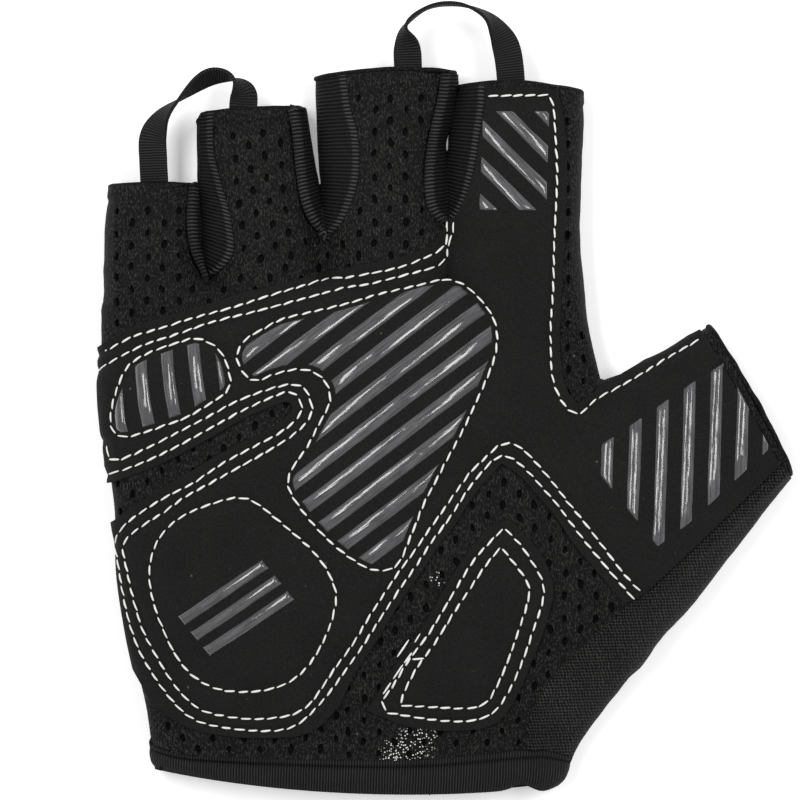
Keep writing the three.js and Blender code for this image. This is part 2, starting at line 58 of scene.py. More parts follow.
# Sections of the hand and its fingers: left x, y, right x, y, height in mm, bow to the wrist
HAND = [
    (154, 768, 561, 784, 13.5, 0), (150, 742, 578, 744, 14.5, 0), (144, 700, 605, 706, 17, 0),
    (130, 640, 637, 660, 19.5, 0), (120, 580, 640, 612, 21.5, 0), (113, 500, 632, 520, 22, 0),
    (103, 420, 612, 430, 22, 0), (101, 350, 594, 350, 20.5, 0), (102, 300, 584, 300, 18, 0),
    (106, 283, 582, 283, 16, 0),
]
LITTLE = [
    (112, 340, 222, 340, 15, 0), (103, 290, 212, 290, 16.5, 0), (103, 262, 202, 262, 15.5, 0),
    (104, 225, 201, 225, 13.5, 0), (109, 186, 197.5, 185, 12.5, -1),
]
RING = [
    (222, 340, 325, 340, 16, 0), (212, 290, 328, 285, 17, 0), (202, 250, 324, 240, 17, 0),
    (199.5, 200, 318.4, 201, 15.5, 0), (190, 170, 311.5, 165, 14.2, 0), (184, 117, 302.5, 108, 13, -3),
]
MIDDLE_FINGER = [
    (328, 340, 448, 340, 17, 0), (316, 250, 456, 250, 17.5, 0), (321.4, 202, 448, 201, 16.5, 0),
    (318.6, 168, 445, 166, 15.2, 0), (317, 142, 442.6, 141, 14.7, 0), (316, 118, 450, 115, 14.2, 0),
    (315, 78, 455, 72, 13.5, -5),
]
INDEX = [
    (448, 340, 590, 335, 17, 0), (438, 250, 581, 248, 17.5, 0), (445, 202, 581, 200, 16.5, 0),
    (447, 168, 582, 168, 15.2, 0), (448.6, 142, 583, 144, 14.7, 0), (452, 115, 584.5, 120, 14.2, 0),
    (459, 86, 583, 92, 13.5, -6),
]
THUMB = [
    (500, 425, 566, 640, 18, 0), (560, 400, 624, 676, 19.5, 0), (604, 380, 662, 634, 19.5, 0),
    (630, 371, 693, 601, 18.5, 0), (668, 354, 742, 538, 17, 0), (710, 326, 792, 474, 16, 0),
]
TUBES = {"little": LITTLE, "ring": RING, "middle": MIDDLE_FINGER, "index": INDEX, "thumb": THUMB}
WRIST_BOW = 15.0
SQUARENESS = 2.35
WIDEST = 0.4
FLATNESS = 1.35

# Seams where the tapes between the fingers meet the cloth, and the edges that the tapes cover
SEAM_LITTLE = [(188, 183), (186, 205), (186, 230), (190, 254), (199.5, 274), (203, 280)]
FOLD_LITTLE = [(198, 183), (199, 205), (200, 230), (201, 254), (202, 270), (203, 280)]
SEAM_RING_L = [(214, 113), (215, 153), (222, 182), (232, 220), (234, 254), (222, 270), (203, 280)]
FOLD_RING_L = [(183, 116), (187, 150), (191, 170), (201, 198), (202, 230), (203, 255), (204, 280)]
SEAM_RING_R = [(286.5, 108), (291, 134), (295, 172), (301, 207), (312, 228), (328, 238)]
FOLD_RING_R = [(302, 107), (307, 140), (312, 165), (320, 197), (324, 218), (327, 238)]
SEAM_MIDDLE_L = [(347, 75), (351, 107), (358, 134), (360, 157), (358, 184), (351, 207), (341, 226),
    (328, 238)]
FOLD_MIDDLE_L = [(314, 80), (316, 110), (317, 130), (317.5, 150), (318, 172), (320, 197), (324, 218),
    (328, 238)]
SEAM_MIDDLE_R = [(440, 74), (436, 100), (428, 134), (424, 167), (424, 196), (428, 212), (439, 222)]
FOLD_MIDDLE_R = [(455, 73), (453, 100), (448, 125), (443, 158), (444, 178), (445.5, 200), (446, 222)]
SEAM_INDEX = [(486, 84), (485, 107), (481, 134), (478, 156), (472, 185), (464, 208), (457, 219),
    (447, 222)]
FOLD_INDEX = [(460, 85), (456, 105), (451, 125), (446.5, 148), (446, 170), (446, 195), (446.5, 212),
    (447, 222)]

# Outlines of the panels
SUEDE = [
    [(85, 356), (109, 343), (136, 327), (196, 310), (272, 287), (349, 268), (398, 259), (425, 248),
     (440, 236), (447, 222)],
    [(447, 222), (457, 219), (464, 208), (473, 185), (479, 156), (482, 134), (486, 107), (487, 88)],
    [(487, 88), (556, 90)],
    [(556, 90), (562, 125), (564, 170), (561, 237), (558, 312), (558, 361), (564, 390), (575, 405)],
    [(575, 405), (591, 395), (617, 381), (641, 368), (662, 355), (703, 333)],
    [(703, 333), (777, 463)],
    [(777, 463), (691, 546), (662, 573), (636, 597)],
    [(636, 597), (341, 701)],
    [(341, 701), (320, 724), (301, 733), (254, 736), (207, 731), (182, 722), (159, 705), (137, 668),
     (122, 640)],
    [(122, 640), (85, 620)],
    [(85, 620), (85, 356)],
]
SLOT = [
    [(80, 487), (114, 482), (131, 476), (151, 468.5), (180, 455), (218, 434), (246, 418), (272, 407),
     (288, 402), (294, 406), (290, 414), (278, 424), (248, 440), (219, 455), (191, 472), (162, 489),
     (133, 508), (117, 521), (80, 540)],
    [(80, 540), (80, 487)],
]
WINDOW = [
    [(500, 463), (518, 475), (537, 496), (557, 520), (577, 547), (598, 572), (645, 628)],
    [(645, 628), (645, 800)],
    [(645, 800), (341, 800)],
    [(341, 800), (341, 701)],
    [(341, 701), (355, 671), (372, 646), (390, 616), (407, 590), (423, 568), (437, 546), (453, 525),
     (476, 490), (500, 463)],
]
THENAR = [
    [(508, 519), (530, 541), (546, 566), (551.5, 588), (545, 620), (532, 655), (521, 682), (510, 704),
     (498, 718), (484, 725), (462, 728), (439, 728), (405, 723), (367, 708)],
    [(367, 708), (384, 682), (403, 650), (421, 627), (438, 598), (454, 571), (470, 548), (488, 527),
     (508, 519)],
]
WIPE = [
    [(524, 800), (526, 745), (529, 723), (535, 701), (549, 679), (569, 656), (595.5, 634), (618, 612),
     (640, 594), (662.5, 574), (691.5, 547), (779, 464)],
    [(779, 464), (830, 520)],
    [(830, 520), (700, 700)],
    [(700, 700), (600, 800)],
    [(600, 800), (524, 800)],
]
CUFF_SEAM = [
    (120, 736), (150, 745), (176.5, 754.5), (234, 758), (291, 759), (350, 760), (395, 760), (439, 758),
    (484, 753.5), (517, 750), (540, 749), (556, 752), (576, 759), (600, 768),
]

# Closed rows of stitches round the padded cells
CELL_OUTER = [
    (134, 363), (146, 356), (157, 351), (175.5, 345), (198, 339), (207, 342), (219, 349), (225.5, 358),
    (230, 370), (232, 384), (229, 392), (219, 399), (207, 407), (195, 414), (183, 420), (169, 424.5),
    (157, 429), (144, 433), (134, 436), (124.5, 437), (116, 431), (114, 420), (115, 408), (118, 396),
    (122, 384), (127, 372),
]
CELL_CENTRE = [
    (238, 357), (245, 342), (263, 331), (282, 321), (310.5, 314), (349, 305), (387, 293.5),
    (412.5, 287), (430, 284), (448, 284), (462, 286), (475, 296), (486, 309), (493, 321), (496, 336),
    (494, 356), (488, 373.5), (478, 396), (468, 418), (458, 438), (447, 458), (435, 481), (423, 504),
    (415, 524.5), (406.5, 545), (399, 562), (388, 569), (368, 567), (349, 555.5), (330, 540), (312, 521),
    (301, 507), (291, 491), (288.5, 481), (291, 472), (299, 459), (308.5, 446), (316, 431), (323, 418),
    (330, 404.5), (331, 395), (326, 382), (316, 373.5), (304, 370), (290, 371), (272, 376), (255, 382),
    (246, 375), (240, 366),
]
CELL_HEEL = [
    (152, 576), (153, 561), (159, 542), (173, 524), (192, 511.5), (217, 502), (236, 497), (249, 498),
    (263, 506), (282, 522), (301, 538), (318, 555), (330, 573), (337, 594), (332, 619), (324, 639),
    (313, 658), (302, 671), (286, 682), (266.5, 688), (245, 690), (222, 688), (204, 681), (188, 668),
    (175, 649), (163, 622), (155, 597),
]
# Open rows of stitches: two over the fingers' roots, two round the slot, the heel and the window
ROWS = [
    [(100, 356), (109.6, 351), (136, 337), (157, 331), (196, 319), (234, 309), (272, 297),
        (310.5, 287), (349, 278), (398.5, 268), (417, 261), (438, 250), (447, 237), (450, 222)],
    [(100, 372), (111.5, 364), (125, 356), (148, 345), (176.5, 336), (215, 323), (253, 314),
        (291, 304), (330, 294), (368, 285), (398.5, 277), (417, 272), (435, 266), (448, 252), (454, 238),
        (457, 222)],
    [(98, 440), (110, 444), (114, 460), (129, 457), (148, 448.5), (176.5, 434), (215, 414),
        (234, 403.5), (263, 392), (291, 385), (305, 388), (310.5, 398), (313, 411), (307, 423), (295, 434),
        (272, 449), (243.5, 465), (215, 481), (186, 497), (167, 511), (144, 526), (129, 539), (126, 547),
        (128, 558), (129, 563), (136, 596), (146, 630), (161, 659), (176.5, 684), (192, 701), (205, 709.5),
        (224, 714), (249, 717), (272, 716), (291, 713), (307, 705), (320, 689), (335, 666.5), (353, 642),
        (368, 617), (387, 588), (398.5, 571), (415, 549), (427, 531), (441, 512), (451, 497), (462, 482),
        (470, 471), (484, 458), (495, 447), (506.5, 443), (517, 446), (533, 461), (549, 480), (564, 498),
        (584, 522), (604.5, 549), (621, 571), (639, 591)],
    [(98, 476), (114, 473), (129, 468.5), (148, 461), (176.5, 447.5), (215, 426.5),
        (243.5, 411), (272, 398), (291, 392), (299, 397), (303, 409), (297, 420), (282, 432),
        (253, 447.5), (224, 463), (196, 482), (167, 497), (138, 516), (125, 528), (119, 541), (122, 563),
        (128, 600), (133.5, 624), (142, 649), (154, 671), (169, 693), (184, 710), (199.5, 720), (220, 725),
        (243.5, 728), (263, 729), (282, 728), (297, 723), (310.5, 712), (330, 690), (347, 666.5),
        (364, 642), (380, 617), (400, 587), (417, 563), (431, 541), (447, 520), (460, 500), (470, 485),
        (484, 468), (496, 457), (506.5, 456), (523, 468), (543, 490), (564, 514), (584, 540),
        (604.5, 565), (633, 599)],
]
ROW_INDEX = [
    [(488, 97), (548, 96)],
    [(548, 96), (552, 107), (553, 125), (555, 170), (554, 201), (552, 237), (551, 290), (549, 325),
     (549, 361), (550, 375), (555.5, 394), (564, 408), (573, 415), (582, 412), (596, 402), (621, 389),
     (645, 375.5), (666, 363), (702, 342)],
]
ROW_THENAR_OUT = [
    [(503, 527), (520, 545), (533, 565), (541, 580), (542, 596), (533, 625), (524, 652), (513, 679),
     (502, 699), (493, 710), (479.5, 716.5), (462, 719), (439, 718), (417, 715), (386, 710)],
    [(386, 710), (382, 700), (392, 685), (410, 656), (428, 632), (446, 603), (462, 576), (477, 554),
     (503, 527)],
]
ROW_THENAR_IN = [
    [(500, 546), (513, 562.5), (527.5, 584), (527.5, 596), (517, 629.5), (506, 661), (495, 686),
     (484, 702), (466, 706), (439, 705), (400, 703)],
    [(400, 703), (404, 690), (417, 665), (433, 643), (450, 616), (468, 589), (486, 562.5), (500, 546)],
]

# Thread ends and doubled stitches: both ends of each
LOOSE_ENDS = [((397, 655), (409, 637)), ((412, 657), (424, 656)), ((383, 692), (391, 680)),
    ((393, 677), (403, 662)), ((404, 661), (412, 650)), ((414, 641), (421, 629))]
# Painted glints, pale dots that stand in for light sparkling on the mesh: x, y, reach in grid steps
PAINTED_GLINTS = [(414, 745, 24), (426, 733, 14), (395, 753, 18), (437, 578, 9)]

# Silicone bars: middle of the first bar, step to the next, way that they run, width, count
BARS = {
    "outer": ((120.0, 390.0), (26.5, -3.5), (-0.13, -0.99), 12.0, 5),
    "centre": ((292.5, 321.5), (15.65, 20.77), (0.7986, -0.6018), 13.5, 10),
    "index": ((541.0, 112.0), (-19.05, 18.4), (0.695, 0.719), 12.8, 5),
    "thumb": ((606.0, 470.0), (26.47, 1.2), (0.045, -0.999), 12.8, 7),
    "heel": ((225.5, 590.5), (10.9, 16.17), (0.829, -0.559), 10.5, 3),
}
FIELD_INDEX = [(484, 112), (548, 112), (545, 204), (541, 212), (480, 212)]
FIELD_THUMB = [(598, 447), (692, 384), (724, 364), (768, 447), (690, 520), (655, 546), (600, 476)]
FIELD_HEEL = [(180, 612), (262, 556), (300, 602), (215, 656)]

# Pull loops: x, y, height in mm, tilt of the ribbon in degrees
LOOP_LEFT = [
    (154, 206, 9.9, 0), (154, 184, 10, 0), (153, 160, 10.6, 0), (153, 136, 10.8, 22),
    (161, 117, 10.5, 58), (178, 100, 10, 88), (211, 76, 9.5, 120), (233, 78, 9.5, 92),
    (243, 91, 10, 35), (243, 108, 10.4, 4), (243, 128, 10.6, 0),
]
LOOP_RIGHT = [
    (408, 92, 10.3, 0), (408, 66, 10.3, 0), (407, 48, 10.4, 25), (404.5, 27, 10.4, 84),
    (428, 7, 10.2, 90), (460, 4, 10.2, 90), (488, 16, 10.3, 74), (500, 32, 10.6, 45),
    (507, 50, 10.8, 12), (511, 81, 10.8, 0), (511, 104, 10.8, 0),
]

# Edges of the glove seen from above, and its openings
LEFT_EDGE = [
    (154, 790), (151, 750), (148, 720), (144, 695), (138, 665), (130, 640), (123, 612), (120, 580),
    (117, 540), (112, 500), (107, 460), (103, 420), (101, 360), (101.5, 300), (103, 250), (106, 210),
    (109, 186),
]
RIGHT_EDGE = [(794, 478), (742, 539), (693, 601.5), (664, 633), (640, 659), (618, 688), (598, 716),
    (579, 744), (562, 782)]
INDEX_SIDE = [(583, 92), (584.5, 124), (582.5, 162), (581.5, 200), (581.5, 250), (583.5, 290), (588, 320),
    (595, 350), (602, 371)]
THUMB_SIDE = [(602, 371), (612, 372.5), (630, 371), (668, 354), (710, 326)]
GLOVE_FIELD = [
    "left",
    [(109, 186), (109, -60)],
    [(109, -60), (583, -60)],
    [(583, -60), (583, 92)],
    "index",
    "crotch",
    [(710, 326), (794, 478)],
    "right",
    [(562, 782), (562, 860)],
    [(562, 860), (154, 860)],
    [(154, 860), (154, 790)],
]
CLOTH = [
    "left",
    [(109, 186), (188, 183)],
    SEAM_LITTLE,
    SEAM_RING_L[::-1],
    [(214, 113), (250, 109), (286.5, 108)],
    SEAM_RING_R,
    SEAM_MIDDLE_L[::-1],
    [(347, 75), (395, 71.5), (440, 74)],
    SEAM_MIDDLE_R,
    [(439, 222), (447, 222)],
    SEAM_INDEX[::-1],
    [(486, 84), (530, 82), (583, 92)],
    "index",
    "crotch",
    [(710, 326), (794, 478)],
    "right",
    CUFF_SEAM[::-1],
]
SIDES = {"left": LEFT_EDGE, "index": INDEX_SIDE, "crotch": THUMB_SIDE, "right": RIGHT_EDGE}
FINGER_ENDS = [[(109, 186), (188, 183)], [(214, 113), (286.5, 108)], [(347, 75), (440, 74)],
    [(486, 84), (583, 92)]]

# Fields of eyelets in the mesh: corners of the field, one eyelet in it and its turn in degrees
EYELET_FIELDS = [
    (90, 150, 204, 300, 148.2, 256, 0), (204, 100, 316, 262, 251.2, 168.8, 6),
    (316, 60, 447, 262, 390.3, 120.8, 0), (562, 92, 620, 420, 567.5, 144.4, 0),
    (90, 262, 420, 500, 148.2, 256, 0), (340, 440, 700, 800, 564.2, 595, 0),
    (120, 500, 560, 800, 228.9, 748.9, 0),
]
EYELET_COLUMN = 15.4
EYELET_STEP = 22.6
EYELET_APART = 11

# Layers above the hollow body, in metres
CLOTH_TOP = 0.00010
CLOTH_THICK = 0.00050
LINING_DROP = 0.00062
SUEDE_TOP = 0.00095
SUEDE_THICK = 0.00080
TAPE_TOP = 0.00050
WIPE_TOP = 0.00060
CUFF_TOP = 0.00060
DENT_WIDTH = 0.00070
DENT_DEPTH = 0.00040
PUFF = 0.00020
PAD_SEAT = SUEDE_TOP - DENT_DEPTH + 0.00012
BODY_THICK = 0.0012
TAPE_THICK = 0.0008
WIPE_THICK = 0.0007
BAND_THICK = 0.0007
HEM_RADIUS = 0.00055
RESTING = 0.0006
LEAST_FLAT = 0.010
HEM_DEPTH = 0.0024
PAD_EDGE = 0.0030
PAD_CROWN = 0.012
BAR_END = 0.0007
BAR_ROOT = 0.00025
CUFF_SHORTEST = 0.0035
CUFF_BACK = 0.0068
CUFF_FOLD = 0.75
STITCH_LIFT = 0.00030

# The body's net: voxel of the joined tubes, share of faces kept, points round a tube
VOXEL = 0.0005
FACES_KEPT = 0.30
TUBE_SIDES = 56
PAST_END = 0.004
CUT_DEPTH = 0.003
BOW_REACH = 0.012
CUT_WIDTH = 1.04

# Camera, in metres, and the sides of the floor
CAMERA_HEIGHT = 1.5
SEEN_HEIGHT = 0.012
SEEN_WIDTH = 0.16
SENSOR = 36
FLOOR = 6.0

made = {}


def plan(points):
    """Points of the grid as places on the ground, in metres."""
    flat = np.asarray(points, float)[:, :2]
    return np.stack([(flat[:, 0] - MIDDLE) * GRID, (MIDDLE - flat[:, 1]) * GRID], 1)


def unit(rows):
    """Rows made one long."""
    return rows / (np.linalg.norm(rows, axis=1)[:, None] + 1e-12)


def lengths_along(points):
    """How far each point lies along its run."""
    return np.concatenate([[0], np.cumsum(np.linalg.norm(np.diff(points, axis=0), axis=1))])


def evenly(points, step=None, count=None):
    """The same run with points at even steps."""
    far = lengths_along(points)
    count = count or max(2, int(round(far[-1] / step)) + 1)
    at = np.linspace(0, far[-1], count)
    return np.stack([np.interp(at, far, points[:, k]) for k in range(points.shape[1])], 1)


def curve_through(points, closed=False, fine=12):
    """A smooth run through points, without overshooting where they lie unevenly."""
    pts = np.asarray(points, float)
    if len(pts) == 2 and not closed:
        return pts
    if closed:
        pts = np.vstack([pts[-1:], pts, pts[:2]])
    else:
        pts = np.vstack([2 * pts[0] - pts[1], pts, 2 * pts[-1] - pts[-2]])
    share = np.linspace(0, 1, fine, endpoint=False)[:, None]
    h1 = 2 * share**3 - 3 * share**2 + 1
    h2 = share**3 - 2 * share**2 + share
    h3 = -2 * share**3 + 3 * share**2
    h4 = share**3 - share**2
    out = []
    for a, b, c, d in zip(pts, pts[1:], pts[2:], pts[3:]):
        t1, t2, t3 = (max(1e-9, np.linalg.norm((q - p)[:2]) ** 0.5) for p, q in ((a, b), (b, c), (c, d)))
        m1 = (c - b) + t2 * ((b - a) / t1 - (c - a) / (t1 + t2))
        m2 = (c - b) + t2 * ((d - c) / t3 - (d - b) / (t2 + t3))
        out.append(h1 * b + h2 * m1 + h3 * c + h4 * m2)
    if not closed:
        out.append(pts[-2:-1])
    return np.vstack(out)


def side_run(name):
    """A falling side of the body as a run of the plan."""
    return made["sides"][name]


def outline(runs, step=0.0012):
    """A closed outline whose runs are smooth and whose corners stay sharp."""
    paths = [side_run(run) if isinstance(run, str) else plan(curve_through(run)) for run in runs]
    return np.vstack([evenly(path, step)[:-1] for path in paths])


def ring_of(points, step=0.0012):
    """A closed smooth ring through points of the grid."""
    path = plan(curve_through(points, closed=True))
    return evenly(np.vstack([path, path[:1]]), step)[:-1]


def inside(spots, edge):
    """Which spots lie inside a closed outline."""
    x, y = spots[:, 0], spots[:, 1]
    found = np.zeros(len(spots), bool)
    for (ax, ay), (bx, by) in zip(edge, np.roll(edge, -1, 0)):
        if ay == by:
            continue
        crossing = (ay > y) != (by > y)
        found ^= crossing & (x < (bx - ax) * (y - ay) / (by - ay) + ax)
    return found


class Near:
    """Distance from spots of the plan to a set of points."""

    def __init__(self, points):
        self.tree = kdtree.KDTree(len(points))
        for i, p in enumerate(points):
            self.tree.insert((p[0], p[1], 0), i)
        self.tree.balance()

    def far(self, spots):
        return np.array([self.tree.find((p[0], p[1], 0))[2] for p in spots])


def bump_noise(spots, size, seed=0.0):
    """Soft unevenness of a given size over the plan."""
    return np.array([soft_noise.noise(Vector((p[0] / size, p[1] / size, seed))) for p in spots])


# The hollow body -----

def spread(table, steps):
    """Rows of a table with smooth rows between them."""
    rows = np.asarray(table, float)
    rows = np.vstack([2 * rows[0] - rows[1], rows, 2 * rows[-1] - rows[-2]])
    out = []
    for a, b, c, d in zip(rows, rows[1:], rows[2:], rows[3:]):
        for t in np.arange(steps) / steps:
            out.append(0.5 * (2 * b + (c - a) * t + (2 * a - 5 * b + 4 * c - d) * t**2
                + (3 * b - a - 3 * c + d) * t**3))
    out.append(rows[-2])
    return np.array(out)


def section(row, count):
    """One closed ring of a tube, flat where it rests."""
    (left, right) = plan([row[0:2], row[2:4]])
    middle, half = (left + right) / 2, np.linalg.norm(right - left) / 2
    way = (right - left) / (2 * half)
    height = row[4] / 1000
    angle = np.linspace(0, 2 * np.pi, count, endpoint=False)
    power = lambda v: np.sign(v) * np.abs(v) ** (2 / SQUARENESS)
    u, v = power(np.cos(angle)), power(np.sin(angle))
    widest = WIDEST * height
    z = widest + np.where(v > 0, (height - widest) * v, widest * FLATNESS * v)
    return np.stack([middle[0] + way[0] * half * u, middle[1] + way[1] * half * u, np.maximum(z, 0)], 1)


def opening(table, outwards, bow):
    """The flat cut at a tube's open end, and how far its edge bulges."""
    row = table[0] if table is HAND else table[-1]
    left, right = plan([row[0:2], row[2:4]])
    way = (right - left) / np.linalg.norm(right - left)
    return {"middle": (left + right) / 2, "way": way, "out": np.array([-way[1], way[0]]) * outwards,
        "half": np.linalg.norm(right - left) / 2, "bow": bow * GRID}


OPENINGS = {
    "wrist": opening(HAND, -1, WRIST_BOW),
    "little": opening(LITTLE, 1, 1),
    "ring": opening(RING, 1, 3),
    "middle": opening(MIDDLE_FINGER, 1, 5),
    "index": opening(INDEX, 1, 6),
    "thumb": opening(THUMB, 1, 3),
}


def tube_mesh(bm, table, count, over):
    """A closed tube through the sections of a table."""
    rings = [section(row, count) for row in spread(table, 6)]
    last = rings[-1] - rings[-2]
    shift = last.mean(0)
    shift[2] = 0
    rings.append(rings[-1] + shift / np.linalg.norm(shift) * over)
    loops = [[bm.verts.new(p) for p in ring] for ring in rings]
    for low, high in zip(loops, loops[1:]):
        for i in range(count):
            j = (i + 1) % count
            bm.faces.new((low[i], low[j], high[j], high[i]))
    for ring, turned in ((loops[0], True), (loops[-1], False)):
        tip = bm.verts.new(sum((v.co for v in ring), Vector()) / count)
        for i in range(count):
            j = (i + 1) % count
            bm.faces.new((ring[j], ring[i], tip) if turned else (ring[i], ring[j], tip))
    bmesh.ops.recalc_face_normals(bm, faces=bm.faces)


def select_only(piece):
    bpy.ops.object.select_all(action="DESELECT")
    piece.select_set(True)
    bpy.context.view_layer.objects.active = piece


def apply_modifier(piece, kind, **settings):
    select_only(piece)
    modifier = piece.modifiers.new(kind.title(), kind)
    for name, value in settings.items():
        setattr(modifier, name, value)
    bpy.ops.object.modifier_apply(modifier=modifier.name)


def new_piece(name, mesh):
    piece = bpy.data.objects.new(name, mesh)
    bpy.context.scene.collection.objects.link(piece)
    return piece


def beyond(spots, cut):
    """How far spots lie outside an opening, and their place across it from -1 to 1."""
    off = spots[:, :2] - cut["middle"]
    return off @ cut["out"], off @ cut["way"] / cut["half"]


def outside_main(bm):
    """Scraps of a mesh that aren't joined to its largest part."""
    left, largest = set(bm.verts), set()
    while left:
        part, edge = set(), [left.pop()]
        while edge:
            v = edge.pop()
            part.add(v)
            for e in v.link_edges:
                other = e.other_vert(v)
                if other in left:
                    left.remove(other)
                    edge.append(other)
        largest = max(largest, part, key=len)
    return [v for v in bm.verts if v not in largest]


def make_body():
    """The hand and its five tubes as one smooth skin, cut open at the wrist and fingers."""
    pieces = []
    for table in (HAND[::-1], *TUBES.values()):
        bm = bmesh.new()
        tube_mesh(bm, table, TUBE_SIDES, PAST_END)
        mesh = bpy.data.meshes.new("tube")
        bm.to_mesh(mesh)
        bm.free()
        pieces.append(new_piece("tube", mesh))
    bpy.ops.object.select_all(action="DESELECT")
    for piece in pieces:
        piece.select_set(True)
    body = pieces[0]
    bpy.context.view_layer.objects.active = body
    bpy.ops.object.join()
    apply_modifier(body, "REMESH", mode="VOXEL", voxel_size=VOXEL, adaptivity=0.0)
    apply_modifier(body, "SMOOTH", factor=0.5, iterations=9)
    bm = bmesh.new()
    bm.from_mesh(body.data)
    for cut in OPENINGS.values():
        spots = np.array([v.co for v in bm.verts])
        past, across = beyond(spots, cut)
        near = {v for v, p, u in zip(bm.verts, past, across) if p > -CUT_DEPTH and abs(u) < CUT_WIDTH}
        faces = [f for f in bm.faces if all(v in near for v in f.verts)]
        edges = list(dict.fromkeys(e for f in faces for e in f.edges))
        verts = list(dict.fromkeys(v for f in faces for v in f.verts))
        out = Vector((*cut["out"], 0))
        spot = Vector((*cut["middle"], 0))
        bmesh.ops.bisect_plane(bm, geom=verts + edges + faces, plane_co=spot, plane_no=out,
            clear_outer=True)
    bmesh.ops.delete(bm, geom=outside_main(bm), context="VERTS")
    spots = np.array([v.co for v in bm.verts])
    moves = np.zeros_like(spots)
    for cut in OPENINGS.values():
        past, across = beyond(spots, cut)
        weight = np.clip(1 + past / BOW_REACH, 0, 1) ** 2 * (past < 0.001) * (np.abs(across) < CUT_WIDTH)
        bulge = cut["bow"] * (1 - np.clip(np.abs(across), 0, 1) ** 2)
        moves[:, :2] += (weight * bulge)[:, None] * cut["out"]
    for v, move in zip(bm.verts, moves):
        v.co += Vector(move)
        v.co.z = max(v.co.z, 0.0)
    bmesh.ops.triangulate(bm, faces=bm.faces)
    bm.to_mesh(body.data)
    bm.free()
    apply_modifier(body, "DECIMATE", ratio=FACES_KEPT)
    return body


class Skin:
    """The outside of the body, and where cloth laid on it comes to lie."""

    def __init__(self, mesh):
        self.points = [v.co.copy() for v in mesh.vertices]
        self.faces = [tuple(p.vertices) for p in mesh.polygons]
        self.normals = [v.normal.copy() for v in mesh.vertices]
        self.tree = BVHTree.FromPolygons(self.points, self.faces)

    def spot(self, x, y):
        down = Vector((0, 0, -1))
        place, _, index, _ = self.tree.ray_cast(Vector((x, y, 0.1)), down)
        if place is None:
            place, _, index, _ = self.tree.find_nearest(Vector((x, y, 0.007)))
        a, b, c = self.faces[index]
        pa, pb, pc = self.points[a], self.points[b], self.points[c]
        ab, ac, ap = pb - pa, pc - pa, place - pa
        d00, d01, d11, d20, d21 = ab.dot(ab), ab.dot(ac), ac.dot(ac), ap.dot(ab), ap.dot(ac)
        scale = d00 * d11 - d01 * d01 or 1e-18
        v = (d11 * d20 - d01 * d21) / scale
        w = (d00 * d21 - d01 * d20) / scale
        normal = self.normals[a] * (1 - v - w) + self.normals[b] * v + self.normals[c] * w
        return place, normal.normalized()

    def nearest(self, point):
        """The nearest place on the body and the way that it faces."""
        place, _, index, _ = self.tree.find_nearest(Vector(point))
        a, b, c = self.faces[index]
        return place, (self.normals[a] + self.normals[b] + self.normals[c]).normalized()

    def lay(self, spots):
        places, normals = zip(*(self.spot(x, y) for x, y in spots))
        return np.array(places), np.array(normals)

    def over(self, spot):
        return self.tree.ray_cast(Vector((spot[0], spot[1], 0.1)), Vector((0, 0, -1)))[0] is not None

    def reach(self, spot, way, near=-0.002, far=0.0012):
        """The last place over the body along a way through a spot of the plan."""
        if self.over(spot + way * far):
            return spot + way * far
        while far - near > 0.00001:
            middle = (near + far) / 2
            near, far = (middle, far) if self.over(spot + way * middle) else (near, middle)
        return spot + way * (near - 0.00002)


def falling_sides(skin):
    """The sides of the body seen from above, fitted to where it really falls away."""
    sides = {}
    for name, run in SIDES.items():
        path = evenly(plan(curve_through(run)), 0.0005)
        way = np.gradient(path, axis=0)
        way /= np.linalg.norm(way, axis=1)[:, None]
        out = np.stack([-way[:, 1], way[:, 0]], 1)
        if skin.over(path[len(path) // 2] + out[len(path) // 2] * 0.004):
            out = -out
        sides[name] = np.array([skin.reach(p, n) for p, n in zip(path, out)])
    return sides


# Cloth cut flat and laid on the body -----

def beside(row, gaps, step):
    """Spots along a row of the plan, at given distances to either side of it."""
    path = evenly(row, step)
    way = unit(np.gradient(path, axis=0))
    side = np.stack([-way[:, 1], way[:, 0]], 1)
    return np.vstack([path + side * gap for gap in gaps])


def thinned(fixed, spots, gap):
    """The spots that keep a gap from the fixed ones."""
    return spots[Near(fixed).far(spots) > gap] if len(spots) else spots


